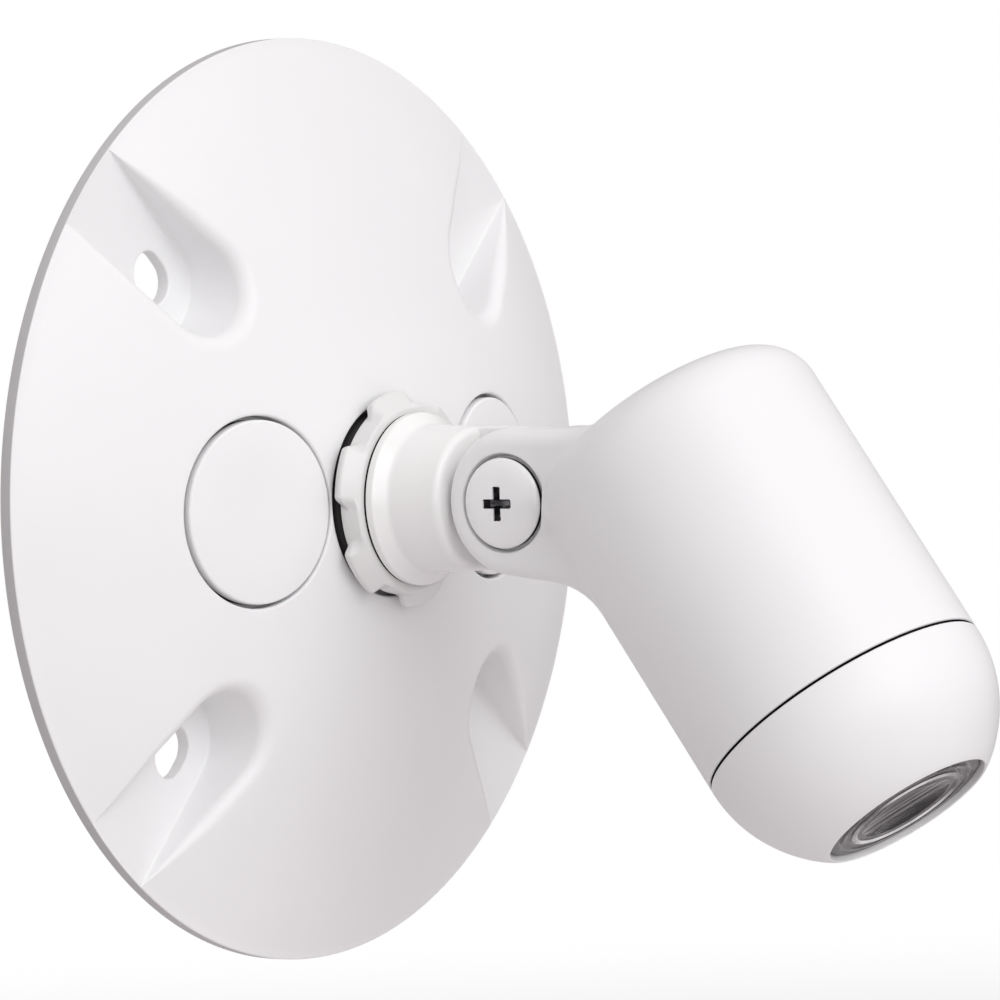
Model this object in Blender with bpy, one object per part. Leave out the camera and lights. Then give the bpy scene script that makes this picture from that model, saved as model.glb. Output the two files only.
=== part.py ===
"""Wall spot lamp head: a round domed canopy plate, a swivelling stem with a
half-lap knuckle, and a bullet-shaped LED head that tilts on the knuckle.

The origin is the centre of the wall plane. The wall is on the +Y side and the
lamp stands out towards -Y, with +Z up. Lengths are in metres.
"""
import bpy
import bmesh
from math import asin, cos, pi, radians, sin, sqrt

MM = 0.001
GAP = 0.3 * MM                      # clearance wherever two pieces meet
ROUND_STEPS = 30                    # facets round a small turned piece
HEAD_STEPS = 42
PLATE_STEPS = 64
FINE_STEPS = 14                     # facets round a screw

# Canopy plate, a spherical dome on a thin rim
PLATE_RADIUS = 63.5 * MM
RIM_THICKNESS = 1.88 * MM
DOME_RISE = 15.42 * MM
SHELL_WALL = 2.4 * MM
LAND_WIDTH = 8.0 * MM               # flat back rim that presses on the gasket
GASKET_THICKNESS = 1.5 * MM
GASKET_WIDTH = 5.5 * MM
GASKET_INSET = 3.1 * MM             # how far the gasket hides inside the rim

# Screw pockets on the diagonals, each with a slot in its floor
POCKET_COUNT = 4
POCKET_HALF_WIDTH = 6.7 * MM
POCKET_END_RADIUS = 36.5 * MM       # where a pocket's round inner end stops
POCKET_WALL = 2.0 * MM
SLOT_RADIUS = 45.1 * MM
SLOT_LENGTH = 7.75 * MM
SLOT_WIDTH = 6.1 * MM

# Outlets: a recess with a bored flange behind it
NIPPLE_RADIUS = 10.65 * MM          # half inch pipe thread, which the outlets and nuts are sized from
RECESS_RADIUS = NIPPLE_RADIUS + 2.3 * MM
RECESS_DEPTH = 3.35 * MM
FLANGE_DEPTH = 2.85 * MM
OUTLET_OFFSET = 2 * RECESS_RADIUS + 0.7 * MM
OUTLET_BOSS_WALL = 2.55 * MM

# Closure plugs
PLUG_RADIUS = RECESS_RADIUS - 0.55 * MM
PLUG_THICKNESS = 1.7 * MM
PLUG_SINK = 0.25 * MM
PLUG_SEAL_THICKNESS = 0.8 * MM
LEG_WALL = 1.4 * MM
LEG_SLIT = 2.4 * MM
BARB = 0.95 * MM

# Stem: threaded nipple, flange and hub
FLANGE_RADIUS = NIPPLE_RADIUS + 1.15 * MM
FLANGE_THICKNESS = 1.05 * MM
FLANGE_STAND_OFF = 3.65 * MM        # from the dome's top to the flange's back
HUB_ROOT_RADIUS = NIPPLE_RADIUS - 0.55 * MM
HUB_RADIUS = NIPPLE_RADIUS - 0.85 * MM
HUB_LENGTH = 10.55 * MM             # flange back to front face
HUB_SHOULDER = 1.6 * MM
HUB_EDGE = 1.1 * MM
WIRE_BORE_RADIUS = NIPPLE_RADIUS - 3.15 * MM
HUB_FRONT_WALL = 4.5 * MM
NIPPLE_TAIL = 3.0 * MM              # thread left standing past the rear nut
BUSHING_LIP = 1.2 * MM
BUSHING_WALL = 1.2 * MM
BUSHING_DEPTH = 5.0 * MM

# Locknuts
NUT_BODY_RADIUS = NIPPLE_RADIUS + 1.85 * MM
NUT_LUG_RADIUS = NIPPLE_RADIUS + 4.55 * MM
NUT_LUG_COUNT = 6
NUT_LUG_ANGLE = radians(34.0)
NUT_LUG_START = radians(42.0)
NUT_LUG_THICKNESS = 1.9 * MM
REAR_NUT_THICKNESS = 4.5 * MM
REAR_NUT_RADIUS = NIPPLE_RADIUS + 1.65 * MM
REAR_LUG_RADIUS = NIPPLE_RADIUS + 2.55 * MM         # clear of the closure plugs' legs
REAR_WASHER_THICKNESS = 1.0 * MM

# Knuckle
PIVOT_REACH = 10.4 * MM             # hub front face to pivot axis
TONGUE_NEAR_FACE = 0.6 * MM         # distance of the tongue's flat from the middle plane
ARM_FAR_FACE = 2.9 * MM
ARM_NEAR_FACE = 8.9 * MM
ARM_RADIUS = HUB_RADIUS + 0.1 * MM
ARM_REACH = 17.0 * MM
ARM_DROP = 2.0 * MM                 # how much lower the arm's underside runs at the head
ARM_ROUNDING = 2.4 * MM
SPACER_RADIUS = 6.5 * MM
RELIEF_CLEARANCE = 0.8 * MM
RELIEF_WALL = 2.2 * MM
SCREW_RADIUS = 2.5 * MM
SCREW_HEAD_RADIUS = 6.1 * MM
SCREW_HEAD_RIM = 0.7 * MM
SCREW_HEAD_HEIGHT = 2.3 * MM
COUNTERBORE_RADIUS = SCREW_HEAD_RADIUS + 0.35 * MM
COUNTERBORE_DEPTH = 0.9 * MM
CROSS_LENGTH = 4.6 * MM
CROSS_WIDTH = 1.3 * MM
CROSS_DEPTH = 1.5 * MM
NUT_ACROSS_FLATS = 8.0 * MM
NUT_HEIGHT = 4.0 * MM
NUT_FLOOR = 3.4 * MM                # plastic left under the hexagon nut
WIRE_GATE_HEIGHT = 5.0 * MM
WIRE_PORT_DROP = radians(35.0)      # below the horizontal, from the pivot into the head

# Lamp head, a round body whose axis passes beside the pivot
HEAD_TILT = radians(54.6)           # below the horizontal, as it leaves the wall
HEAD_RADIUS = 20.4 * MM
HEAD_BACK = 48.8 * MM               # seam to the middle of the rear face
HEAD_OFFSET = HEAD_RADIUS + 2.1 * MM    # pivot axis to head axis
HEAD_REACH = HEAD_BACK + 1.0 * MM   # pivot to seam along the head axis
HEAD_CROWN = 1.5 * MM
HEAD_CORNER = 6.2 * MM
HOUSING_WALL = 2.5 * MM
LEDGE_WIDTH = 0.9 * MM
SEAM_GAP = 0.35 * MM
CAP_LENGTH = 16.3 * MM
CAP_POWER_ALONG = 2.1               # exponents of the cap's superelliptic nose
CAP_POWER_ACROSS = 1.187
LIP_DEPTH = 1.6 * MM
SPIGOT_LENGTH = 7.0 * MM
SPIGOT_WALL = 1.8 * MM
O_RING_WIDTH = 1.4 * MM
O_RING_DEPTH = 0.8 * MM
LENS_RADIUS = 12.5 * MM
APERTURE_RADIUS = LENS_RADIUS - 0.6 * MM
APERTURE_THROAT = LENS_RADIUS - 0.8 * MM
LENS_THICKNESS = 2.0 * MM           # of its rim, behind the cap's lip
LENS_INSET = 0.4 * MM               # its face behind the cap's end
LENS_GASKET_THICKNESS = 0.8 * MM
LENS_GASKET_BORE = LENS_RADIUS - 3.6 * MM

# Light source and driver
REFLECTOR_MOUTH = LENS_RADIUS - 4.1 * MM
REFLECTOR_THROAT = 3.2 * MM
REFLECTOR_FLANGE = 0.6 * MM
REFLECTOR_WALL = 0.7 * MM
EMITTER_SIDE = 3.5 * MM
EMITTER_HEIGHT = 1.2 * MM
EMITTER_DOME = 1.3 * MM
LED_BOARD_RADIUS = 10.0 * MM
LED_BOARD_THICKNESS = 1.6 * MM
LED_BOARD_FACE = -0.5 * MM          # its front face, measured from the seam
PAD_THICKNESS = 0.7 * MM
SINK_FLANGE = 2.0 * MM
SINK_LENGTH = 18.6 * MM
FIN_COUNT = 6
FIN_GAP = 2.6 * MM
POST_LENGTH = 3.0 * MM
POST_RADIUS = 2.6 * MM
POST_SPACING = 11.0 * MM
LEAD_NOTCH_WIDTH = 9.0 * MM
SMALL_SCREW_RADIUS = 1.2 * MM
SMALL_SCREW_HEAD = 2.2 * MM
SMALL_SCREW_HEAD_HEIGHT = 1.4 * MM
SMALL_SCREW_LENGTH = 4.6 * MM
LED_SCREW_SPACING = 8.0 * MM
DRIVER_THICKNESS = 1.6 * MM
COIL_AT = (-4.5 * MM, 7.5 * MM, 0)
COIL_RADIUS = 4.2 * MM
COIL_CORE_RADIUS = 3.4 * MM
COIL_HEIGHT = 6.0 * MM
CAN_AT = (5.2 * MM, 7.0 * MM, 0)
CAN_RADIUS = 4.0 * MM
CAN_HEIGHT = 9.0 * MM
CHIP_SIZE = (5.0 * MM, 4.0 * MM, 1.5 * MM)
CHIP_AT = (0, -1.5 * MM, 0)
TERMINAL_SIZE = (10.0 * MM, 7.0 * MM, 7.0 * MM)
TERMINAL_AT = (0, -9.0 * MM, 0)
TERMINAL_PITCH = 5.0 * MM
WIRE_HOLE = 2.4 * MM
LEAD_RADIUS = 0.7 * MM
LEAD_SPACING = 2.2 * MM
LEAD_BEND = 2.2 * MM
LEAD_LANDING = 2.4 * MM             # how far a lead reaches in over the LED board

# Places that follow from the sizes above, as distances out from the wall
PLATE_BACK = GASKET_THICKNESS + GAP
RIM_FRONT = PLATE_BACK + RIM_THICKNESS
DOME_TOP = RIM_FRONT + DOME_RISE
DOME_RADIUS = (PLATE_RADIUS ** 2 + DOME_RISE ** 2) / (2 * DOME_RISE)
DOME_CENTRE = DOME_TOP - DOME_RADIUS
OUTLET_TILT = asin(OUTLET_OFFSET / DOME_RADIUS)
BORE_RADIUS = NIPPLE_RADIUS + GAP
FLANGE_BACK = DOME_TOP + FLANGE_STAND_OFF
HUB_FACE = FLANGE_BACK + HUB_LENGTH
PIVOT_OUT = HUB_FACE + PIVOT_REACH
CAVITY_RADIUS = HEAD_RADIUS - HOUSING_WALL
SINK_FACE_RADIUS = CAVITY_RADIUS - SPIGOT_WALL - 0.9 * MM
LEAD_NOTCH_FLOOR = SINK_FACE_RADIUS - 3.6 * MM      # distance of the notch's floor from the head axis
DRIVER_RADIUS = CAVITY_RADIUS - LEDGE_WIDTH - 2.0 * MM
LED_BOARD_BACK = LED_BOARD_FACE - LED_BOARD_THICKNESS
SINK_FACE = LED_BOARD_BACK - GAP - PAD_THICKNESS - GAP
SINK_FLANGE_FRONT = -SPIGOT_LENGTH - GAP
SINK_FLANGE_BACK = SINK_FLANGE_FRONT - SINK_FLANGE
SINK_BACK = SINK_FACE - SINK_LENGTH
DRIVER_FRONT = SINK_BACK - POST_LENGTH - GAP
DRIVER_BACK = DRIVER_FRONT - DRIVER_THICKNESS


# ---------------------------------------------------------------- workshop
def wipe_scene():
    """Empty the scene that the script starts in."""
    for item in list(bpy.data.objects):
        bpy.data.objects.remove(item, do_unlink=True)


def finish(name, colour, roughness, metallic=0.0):
    """A plain Principled material."""
    made = bpy.data.materials.new(name)
    made.use_nodes = True
    shader = made.node_tree.nodes["Principled BSDF"]
    shader.inputs["Base Color"].default_value = (*colour, 1.0)
    shader.inputs["Roughness"].default_value = roughness
    shader.inputs["Metallic"].default_value = metallic
    return made


def axis_frame(name, parent=None, location=(0, 0, 0), rotation=(0, 0, 0)):
    """An empty that other pieces are placed from."""
    made = bpy.data.objects.new(name, None)
    made.empty_display_size = 10 * MM
    return place(made, parent, location, rotation)


def place(made, parent, location, rotation):
    """Link an object under its parent at a location and rotation."""
    made.parent = parent
    made.location = location
    made.rotation_euler = rotation
    bpy.context.scene.collection.objects.link(made)
    return made


def piece(name, shape, parent, look, location=(0, 0, 0), rotation=(0, 0, 0)):
    """Turn a bmesh into a named, smooth-shaded object."""
    bmesh.ops.recalc_face_normals(shape, faces=shape.faces)
    mesh = bpy.data.meshes.new(name)
    shape.to_mesh(mesh)
    shape.free()
    mesh.shade_smooth()
    mesh.set_sharp_from_angle(angle=radians(32))
    if look is not None:
        mesh.materials.append(look)
    return place(bpy.data.objects.new(name, mesh), parent, location, rotation)


def tool(made):
    """Mark an object as a cutter, which is no part of the lamp."""
    made.hide_render = True
    made.display_type = "WIRE"
    return made


def combine(target, operation, *others):
    """Cut, join or intersect a piece with tools, in order."""
    for other in others:
        step = target.modifiers.new(other.name, "BOOLEAN")
        step.operation = operation
        step.object = tool(other)
        step.solver = "EXACT"
    return target


def turned(outline, steps=ROUND_STEPS):
    """Revolve (radius, height) points about local Z into a closed body."""
    shape = bmesh.new()
    angles = [2 * pi * (step + 0.5) / steps for step in range(steps)]
    rings = []
    for radius, height in outline:
        if radius < GAP / 1000:
            rings.append([shape.verts.new((0, 0, height))])
        else:
            rings.append([shape.verts.new((radius * cos(a), radius * sin(a), height)) for a in angles])
    pairs = list(zip(rings, rings[1:]))
    if len(rings[0]) > 1:
        pairs.append((rings[-1], rings[0]))
    for first, second in pairs:
        for step in range(steps):
            after = (step + 1) % steps
            corners = [first[step % len(first)], second[step % len(second)]]
            if len(second) > 1:
                corners.append(second[after])
            if len(first) > 1:
                corners.append(first[after])
            if len(corners) > 2:
                shape.faces.new(corners)
    return shape


def prism(outline, low, high):
    """Extrude an (x, y) outline along local Z."""
    shape = bmesh.new()
    bottom = [shape.verts.new((x, y, low)) for x, y in outline]
    top = [shape.verts.new((x, y, high)) for x, y in outline]
    shape.faces.new(bottom)
    shape.faces.new(top)
    for step in range(len(outline)):
        after = (step + 1) % len(outline)
        shape.faces.new((bottom[step], bottom[after], top[after], top[step]))
    return shape


def block(low, high):
    """A box between two corners."""
    outline = [(low[0], low[1]), (high[0], low[1]), (high[0], high[1]), (low[0], high[1])]
    return prism(outline, low[2], high[2])


def disc(radius, low, high, steps=ROUND_STEPS):
    """A plain cylinder."""
    half_step = pi / steps
    return prism(arc(radius, half_step, 2 * pi - half_step, steps - 1), low, high)


def washer(bore, radius, low, high, steps=ROUND_STEPS):
    """A flat ring."""
    return turned([(bore, low), (radius, low), (radius, high), (bore, high)], steps)


def arc(radius, start, end, count, centre=(0, 0)):
    """Points along an arc, both ends included."""
    turn = [start + (end - start) * step / count for step in range(count + 1)]
    return [(centre[0] + radius * cos(a), centre[1] + radius * sin(a)) for a in turn]


def hexagon(across_flats):
    """A regular hexagon's corners."""
    return arc(across_flats / sqrt(3), 0, 5 * pi / 3, 5)


def slot_outline(half_width, inner_end, outer_end):
    """A slot along X with two round ends."""
    left = (inner_end + half_width, 0)
    right = (outer_end - half_width, 0)
    return arc(half_width, pi / 2, 3 * pi / 2, 8, left) + arc(half_width, -pi / 2, pi / 2, 8, right)


# ------------------------------------------------------------------ canopy
def dome_height(radius, inset=0.0):
    """Distance from the wall to the dome, or to its inner face."""
    return DOME_CENTRE + sqrt((DOME_RADIUS - inset) ** 2 - radius ** 2)


def pocket_outline(half_width):
    """A pocket's U shape along X: round inner end, open past the rim."""
    centre = POCKET_END_RADIUS + POCKET_HALF_WIDTH
    past_rim = PLATE_RADIUS * 1.1
    rounded_end = arc(half_width, pi / 2, 3 * pi / 2, 12, (centre, 0))
    return [(past_rim, half_width)] + rounded_end + [(past_rim, -half_width)]


def diagonal(number):
    """The turn of a pocket about the plate's axis."""
    return (0, 0, pi / 4 + number * 2 * pi / POCKET_COUNT)


def make_outlet_tools(name, at, recess_radius):
    """Boss, recess and bore of one outlet; the outlet's frame has its face at 0."""
    boss_radius = recess_radius + OUTLET_BOSS_WALL
    boss_back = -RECESS_DEPTH - FLANGE_DEPTH
    boss = piece(name + "_boss", disc(boss_radius, boss_back, DOME_RISE), at, None)
    recess = piece(name + "_recess", disc(recess_radius, -RECESS_DEPTH, DOME_RISE), at, None)
    bore = piece(name + "_bore", disc(BORE_RADIUS, -DOME_TOP, DOME_TOP), at, None)
    return boss, recess, bore


def make_canopy(canopy, outlets, look):
    """The domed plate, hollow behind, with pockets, slots and outlets."""
    rings = 6
    inner_edge = PLATE_RADIUS - LAND_WIDTH
    outside = [(0, PLATE_BACK), (PLATE_RADIUS, PLATE_BACK)]
    outer_radii = [PLATE_RADIUS * n / rings for n in range(rings, -1, -1)]
    outside += [(r, dome_height(r)) for r in outer_radii]
    plate = piece("canopy_plate", turned(outside, PLATE_STEPS), canopy, look)
    inside = [(0, -PLATE_BACK), (inner_edge, -PLATE_BACK)]
    inner_radii = [inner_edge * n / rings for n in range(rings, -1, -1)]
    inside += [(r, dome_height(r, SHELL_WALL)) for r in inner_radii]
    hollow = piece("canopy_hollow", turned(inside, HEAD_STEPS), canopy, None)
    pockets = []
    slots = []
    slot = slot_outline(SLOT_WIDTH / 2, SLOT_RADIUS - SLOT_LENGTH / 2, SLOT_RADIUS + SLOT_LENGTH / 2)
    for number in range(POCKET_COUNT):
        turn = diagonal(number)
        wall = prism(pocket_outline(POCKET_HALF_WIDTH + POCKET_WALL), -DOME_TOP, 2 * DOME_TOP)
        combine(hollow, "DIFFERENCE", piece("pocket_wall_%d" % number, wall, canopy, None, rotation=turn))
        space = prism(pocket_outline(POCKET_HALF_WIDTH), RIM_FRONT, 2 * DOME_TOP)
        pockets.append(piece("pocket_space_%d" % number, space, canopy, None, rotation=turn))
        slot_body = prism(slot, -PLATE_BACK, DOME_TOP)
        slots.append(piece("slot_%d" % number, slot_body, canopy, None, rotation=turn))
    openings = []
    for name, at, recess_radius in outlets:
        boss, recess, bore = make_outlet_tools(name, at, recess_radius)
        combine(hollow, "DIFFERENCE", boss)
        openings += [recess, bore]
    combine(plate, "DIFFERENCE", hollow, *pockets, *slots, *openings)
    return plate


def make_wall_gasket(canopy, look):
    """The foam ring between the plate's land and the wall."""
    outer = PLATE_RADIUS - GASKET_INSET
    ring = washer(outer - GASKET_WIDTH, outer, 0, GASKET_THICKNESS, HEAD_STEPS)
    return piece("wall_gasket", ring, canopy, look)


def make_plug(side, at, look, rubber):
    """A snap-in closure: a disc with four barbed legs, and the seal under it."""
    top = -PLUG_SINK
    under = top - PLUG_THICKNESS
    leg_radius = NIPPLE_RADIUS - GAP / 2
    hook = -RECESS_DEPTH - FLANGE_DEPTH - GAP
    tip = hook - BARB - LEG_WALL
    chamfer = GAP
    outline = [(0, top), (PLUG_RADIUS - chamfer, top), (PLUG_RADIUS, top - chamfer), (PLUG_RADIUS, under)]
    outline += [(leg_radius, under), (leg_radius, hook), (leg_radius + BARB, hook)]
    outline += [(leg_radius + BARB, hook - BARB / 2), (leg_radius, tip), (leg_radius - LEG_WALL, tip)]
    outline += [(leg_radius - LEG_WALL, under), (0, under)]
    plug = piece("plug_" + side, turned(outline), at, look)
    reach = 2 * PLUG_RADIUS
    for name, turn in (("a", 0), ("b", pi / 2)):
        slit = block((-reach, -LEG_SLIT / 2, tip - PLUG_THICKNESS), (reach, LEG_SLIT / 2, under - chamfer))
        cutter = piece("leg_slit_%s_%s" % (side, name), slit, at, None, rotation=(0, 0, turn))
        combine(plug, "DIFFERENCE", cutter)
    seal_top = under - GAP
    ring = washer(leg_radius + GAP, PLUG_RADIUS, seal_top - PLUG_SEAL_THICKNESS, seal_top)
    piece("plug_seal_" + side, ring, at, rubber)
    return plug


def make_outlet_seal(at, recess_radius, rubber):
    """The rubber ring in the middle outlet, under the front locknut."""
    ring = washer(BORE_RADIUS, recess_radius - GAP, GAP - RECESS_DEPTH, -GAP)
    return piece("outlet_seal", ring, at, rubber)


# -------------------------------------------------------------------- stem
def hub_outline():
    """Section of the nipple, flange and hub, rear end first."""
    rear = rear_end()
    outline = [(0, rear), (NIPPLE_RADIUS, rear), (NIPPLE_RADIUS, FLANGE_BACK), (FLANGE_RADIUS, FLANGE_BACK)]
    outline += [(FLANGE_RADIUS, FLANGE_BACK + FLANGE_THICKNESS)]
    outline += [(HUB_ROOT_RADIUS, FLANGE_BACK + FLANGE_THICKNESS + HUB_SHOULDER)]
    outline += arc(HUB_EDGE, 0, pi / 2, 3, (HUB_RADIUS - HUB_EDGE, HUB_FACE - HUB_EDGE))
    return outline + [(0, HUB_FACE)]


def rear_end():
    """Where the nipple ends, behind the rear locknut."""
    stack = RECESS_DEPTH + FLANGE_DEPTH + GAP + REAR_WASHER_THICKNESS + GAP + REAR_NUT_THICKNESS
    return DOME_TOP - stack - NIPPLE_TAIL


def make_stem(stem, knuckle, look):
    """Nipple, hub and half-round tongue in one moulding."""
    body = piece("stem", turned(hub_outline()), stem, look)
    root = -PIVOT_REACH - HUB_EDGE - HUB_RADIUS / 4
    profile = [(root, -HUB_RADIUS)] + arc(HUB_RADIUS, -pi / 2, pi / 2, 16) + [(root, HUB_RADIUS)]
    tongue = piece("tongue", prism(profile, -HUB_RADIUS - GAP, -TONGUE_NEAR_FACE), knuckle, None)
    round_bar = disc(HUB_RADIUS, HUB_FACE - 2 * HUB_RADIUS, PIVOT_OUT + 2 * HUB_RADIUS)
    combine(tongue, "INTERSECT", piece("tongue_round", round_bar, stem, None))
    combine(body, "UNION", tongue)
    bore = disc(WIRE_BORE_RADIUS, rear_end() - GAP * 10, HUB_FACE - HUB_FRONT_WALL)
    gate_low = (GAP - ARM_FAR_FACE, -WIRE_GATE_HEIGHT, HUB_FACE - 2 * HUB_FRONT_WALL)
    gate_high = (TONGUE_NEAR_FACE - GAP, WIRE_GATE_HEIGHT, HUB_FACE + GAP * 10)
    shank = disc(SCREW_RADIUS + GAP, -2 * HUB_RADIUS, HUB_RADIUS, FINE_STEPS)
    floor = -TONGUE_NEAR_FACE - NUT_FLOOR
    pocket = prism(hexagon(NUT_ACROSS_FLATS + 2 * GAP), -2 * HUB_RADIUS, floor)
    combine(body, "DIFFERENCE",
            piece("wire_bore", bore, stem, None),
            piece("wire_gate", block(gate_low, gate_high), stem, None),
            piece("tongue_hole", shank, knuckle, None),
            piece("nut_pocket", pocket, knuckle, None))
    return body


def lug_outline(root_radius, lug_radius):
    """A nut's outline: a circle with square lugs."""
    outline = []
    pitch = 2 * pi / NUT_LUG_COUNT
    for number in range(NUT_LUG_COUNT):
        middle = NUT_LUG_START + number * pitch
        half = NUT_LUG_ANGLE / 2
        outline += arc(lug_radius, middle - half, middle + half, 3)
        outline += arc(root_radius, middle + half * 1.05, middle + pitch - half * 1.05, 3)
    return outline


def make_locknut(name, radii, span, at, look):
    """A lugged locknut on the nipple's thread, from its (body, lug) radii and its (low, high) faces."""
    low, high = span
    nut = piece(name, disc(radii[0], low, high), at, look)
    lugs = prism(lug_outline(radii[0] - MM, radii[1]), low + GAP, low + GAP + NUT_LUG_THICKNESS)
    combine(nut, "UNION", piece(name + "_lugs", lugs, at, None))
    hole = disc(NIPPLE_RADIUS + GAP, low - 10 * GAP, high + 10 * GAP)
    combine(nut, "DIFFERENCE", piece(name + "_hole", hole, at, None))
    return nut


def make_nipple_hardware(stem, white, steel, nylon):
    """Locknut in front, washer, locknut and wire bushing behind."""
    front_low = DOME_TOP + GAP
    front_span = (front_low, FLANGE_BACK - GAP)
    make_locknut("front_locknut", (NUT_BODY_RADIUS, NUT_LUG_RADIUS), front_span, stem, white)
    top = DOME_TOP - RECESS_DEPTH - FLANGE_DEPTH - GAP
    bottom = top - REAR_WASHER_THICKNESS
    piece("rear_washer", washer(BORE_RADIUS, REAR_LUG_RADIUS, bottom, top), stem, steel)
    nut_top = bottom - GAP
    nut_bottom = nut_top - REAR_NUT_THICKNESS
    make_locknut("rear_locknut", (REAR_NUT_RADIUS, REAR_LUG_RADIUS), (nut_bottom, nut_top), stem, white)
    lip_top = rear_end() - GAP
    outer = WIRE_BORE_RADIUS - GAP
    inner = outer - BUSHING_WALL
    outline = [(inner, lip_top - BUSHING_LIP), (NIPPLE_RADIUS - GAP, lip_top - BUSHING_LIP)]
    outline += [(NIPPLE_RADIUS - GAP, lip_top), (outer, lip_top)]
    outline += [(outer, lip_top + BUSHING_DEPTH), (inner, lip_top + BUSHING_DEPTH)]
    piece("wire_bushing", turned(outline), stem, nylon)


def make_pivot_hardware(knuckle, white, steel, nylon):
    """Spacer between arm and tongue, cross-head screw and hexagon nut."""
    hole = SCREW_RADIUS + GAP
    spacer = washer(hole, SPACER_RADIUS, GAP - TONGUE_NEAR_FACE, ARM_FAR_FACE - GAP)
    piece("knuckle_spacer", spacer, knuckle, nylon)
    nut_near = -TONGUE_NEAR_FACE - NUT_FLOOR - GAP
    nut_body = prism(hexagon(NUT_ACROSS_FLATS), nut_near - NUT_HEIGHT, nut_near)
    nut = piece("pivot_nut", nut_body, knuckle, steel)
    thread = disc(hole, nut_near - 2 * NUT_HEIGHT, nut_near + NUT_HEIGHT, FINE_STEPS)
    combine(nut, "DIFFERENCE", piece("pivot_nut_hole", thread, knuckle, None))
    seat = ARM_NEAR_FACE - COUNTERBORE_DEPTH + GAP
    rim = seat + SCREW_HEAD_RIM
    dome = [(SCREW_HEAD_RADIUS * cos(a), rim + (SCREW_HEAD_HEIGHT - SCREW_HEAD_RIM) * sin(a))
            for a in [pi / 2 * n / 4 for n in range(5)]]
    dome[-1] = (0, rim + SCREW_HEAD_HEIGHT - SCREW_HEAD_RIM)
    outline = [(0, nut_near - NUT_HEIGHT), (SCREW_RADIUS, nut_near - NUT_HEIGHT), (SCREW_RADIUS, seat)]
    screw = piece("pivot_screw", turned(outline + [(SCREW_HEAD_RADIUS, seat)] + dome), knuckle, white)
    top = seat + SCREW_HEAD_HEIGHT
    half = CROSS_WIDTH / 2
    arm = CROSS_LENGTH / 2
    cross = [(half, half), (half, arm), (-half, arm), (-half, half), (-arm, half), (-arm, -half),
             (-half, -half), (-half, -arm), (half, -arm), (half, -half), (arm, -half), (arm, half)]
    recess = piece("cross_recess", prism(cross, top - CROSS_DEPTH, top + MM), knuckle, None)
    combine(screw, "DIFFERENCE", recess)


# -------------------------------------------------------------------- head
def rear_section(radius, back, crown, corner):
    """Side, rounded corner and crowned rear face, front to back."""
    shoulder = -back + crown
    points = arc(corner, 0, -pi / 2, 5, (radius - corner, shoulder + corner))
    return points + [((radius - corner) / 2, -back + crown / 4), (0, -back)]


def cap_section(steps=7):
    """The cap's outer line from the seam to the aperture's edge."""
    points = []
    for step in range(steps + 1):
        share = sin(pi / 2 * step / steps)
        swell = (1 - share ** CAP_POWER_ALONG) ** (1 / CAP_POWER_ACROSS)
        radius = APERTURE_RADIUS + (HEAD_RADIUS - APERTURE_RADIUS) * swell
        points.append((radius, SEAM_GAP + (CAP_LENGTH - SEAM_GAP) * share))
    return points


def make_arm(knuckle):
    """The ear that reaches back from the head to the pivot."""
    outline = [(ARM_REACH, ARM_RADIUS)] + arc(ARM_RADIUS, pi / 2, 3 * pi / 2, 16)
    outline += [(ARM_REACH, -ARM_RADIUS - ARM_DROP)]
    shape = prism(outline, ARM_FAR_FACE, ARM_NEAR_FACE)
    near = [edge for edge in shape.edges
            if all(vert.co.z > ARM_NEAR_FACE - GAP and vert.co.x < ARM_REACH - GAP for vert in edge.verts)]
    bmesh.ops.bevel(shape, geom=near, offset=ARM_ROUNDING, segments=3, affect="EDGES", profile=0.5)
    return piece("arm", shape, knuckle, None)


def make_housing(head, knuckle, look):
    """Rear housing: a cup with the knuckle's arm and a relief for the tongue."""
    outline = [(0, 0), (HEAD_RADIUS, 0)] + rear_section(HEAD_RADIUS, HEAD_BACK, HEAD_CROWN, HEAD_CORNER)
    housing = piece("rear_housing", turned(outline, HEAD_STEPS), head, look)
    relief_radius = HUB_RADIUS + RELIEF_CLEARANCE
    relief_far = -HUB_RADIUS - RELIEF_CLEARANCE
    relief = piece("relief", disc(relief_radius, relief_far, ARM_FAR_FACE), knuckle, None)
    guard_shape = disc(relief_radius + RELIEF_WALL, relief_far - RELIEF_WALL, ARM_FAR_FACE + RELIEF_WALL)
    guard = piece("relief_wall", guard_shape, knuckle, None)
    ledge = SINK_FLANGE_BACK - GAP
    rear_wall = HEAD_BACK - HOUSING_WALL - LEDGE_WIDTH
    section = rear_section(CAVITY_RADIUS - LEDGE_WIDTH, rear_wall, HEAD_CROWN, HEAD_CORNER - HOUSING_WALL)
    cavity = [(0, GAP * 10), (CAVITY_RADIUS, GAP * 10), (CAVITY_RADIUS, ledge)]
    cavity += [(CAVITY_RADIUS - LEDGE_WIDTH, ledge)] + section
    hollow = piece("housing_hollow", turned(cavity), head, None)
    combine(hollow, "DIFFERENCE", guard)
    combine(housing, "UNION", make_arm(knuckle))
    gate = block((0, -WIRE_GATE_HEIGHT / 2, GAP - TONGUE_NEAR_FACE),
                 (relief_radius + 3 * RELIEF_WALL, WIRE_GATE_HEIGHT / 2, ARM_FAR_FACE - GAP))
    port = piece("wire_port", gate, knuckle, None, rotation=(0, 0, -WIRE_PORT_DROP))
    hole = piece("arm_hole", disc(SCREW_RADIUS + GAP, 0, 2 * ARM_NEAR_FACE, FINE_STEPS), knuckle, None)
    sink = disc(COUNTERBORE_RADIUS, ARM_NEAR_FACE - COUNTERBORE_DEPTH, 2 * ARM_NEAR_FACE)
    counterbore = piece("arm_counterbore", sink, knuckle, None)
    combine(housing, "DIFFERENCE", hollow, relief, port, hole, counterbore)
    return housing


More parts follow.
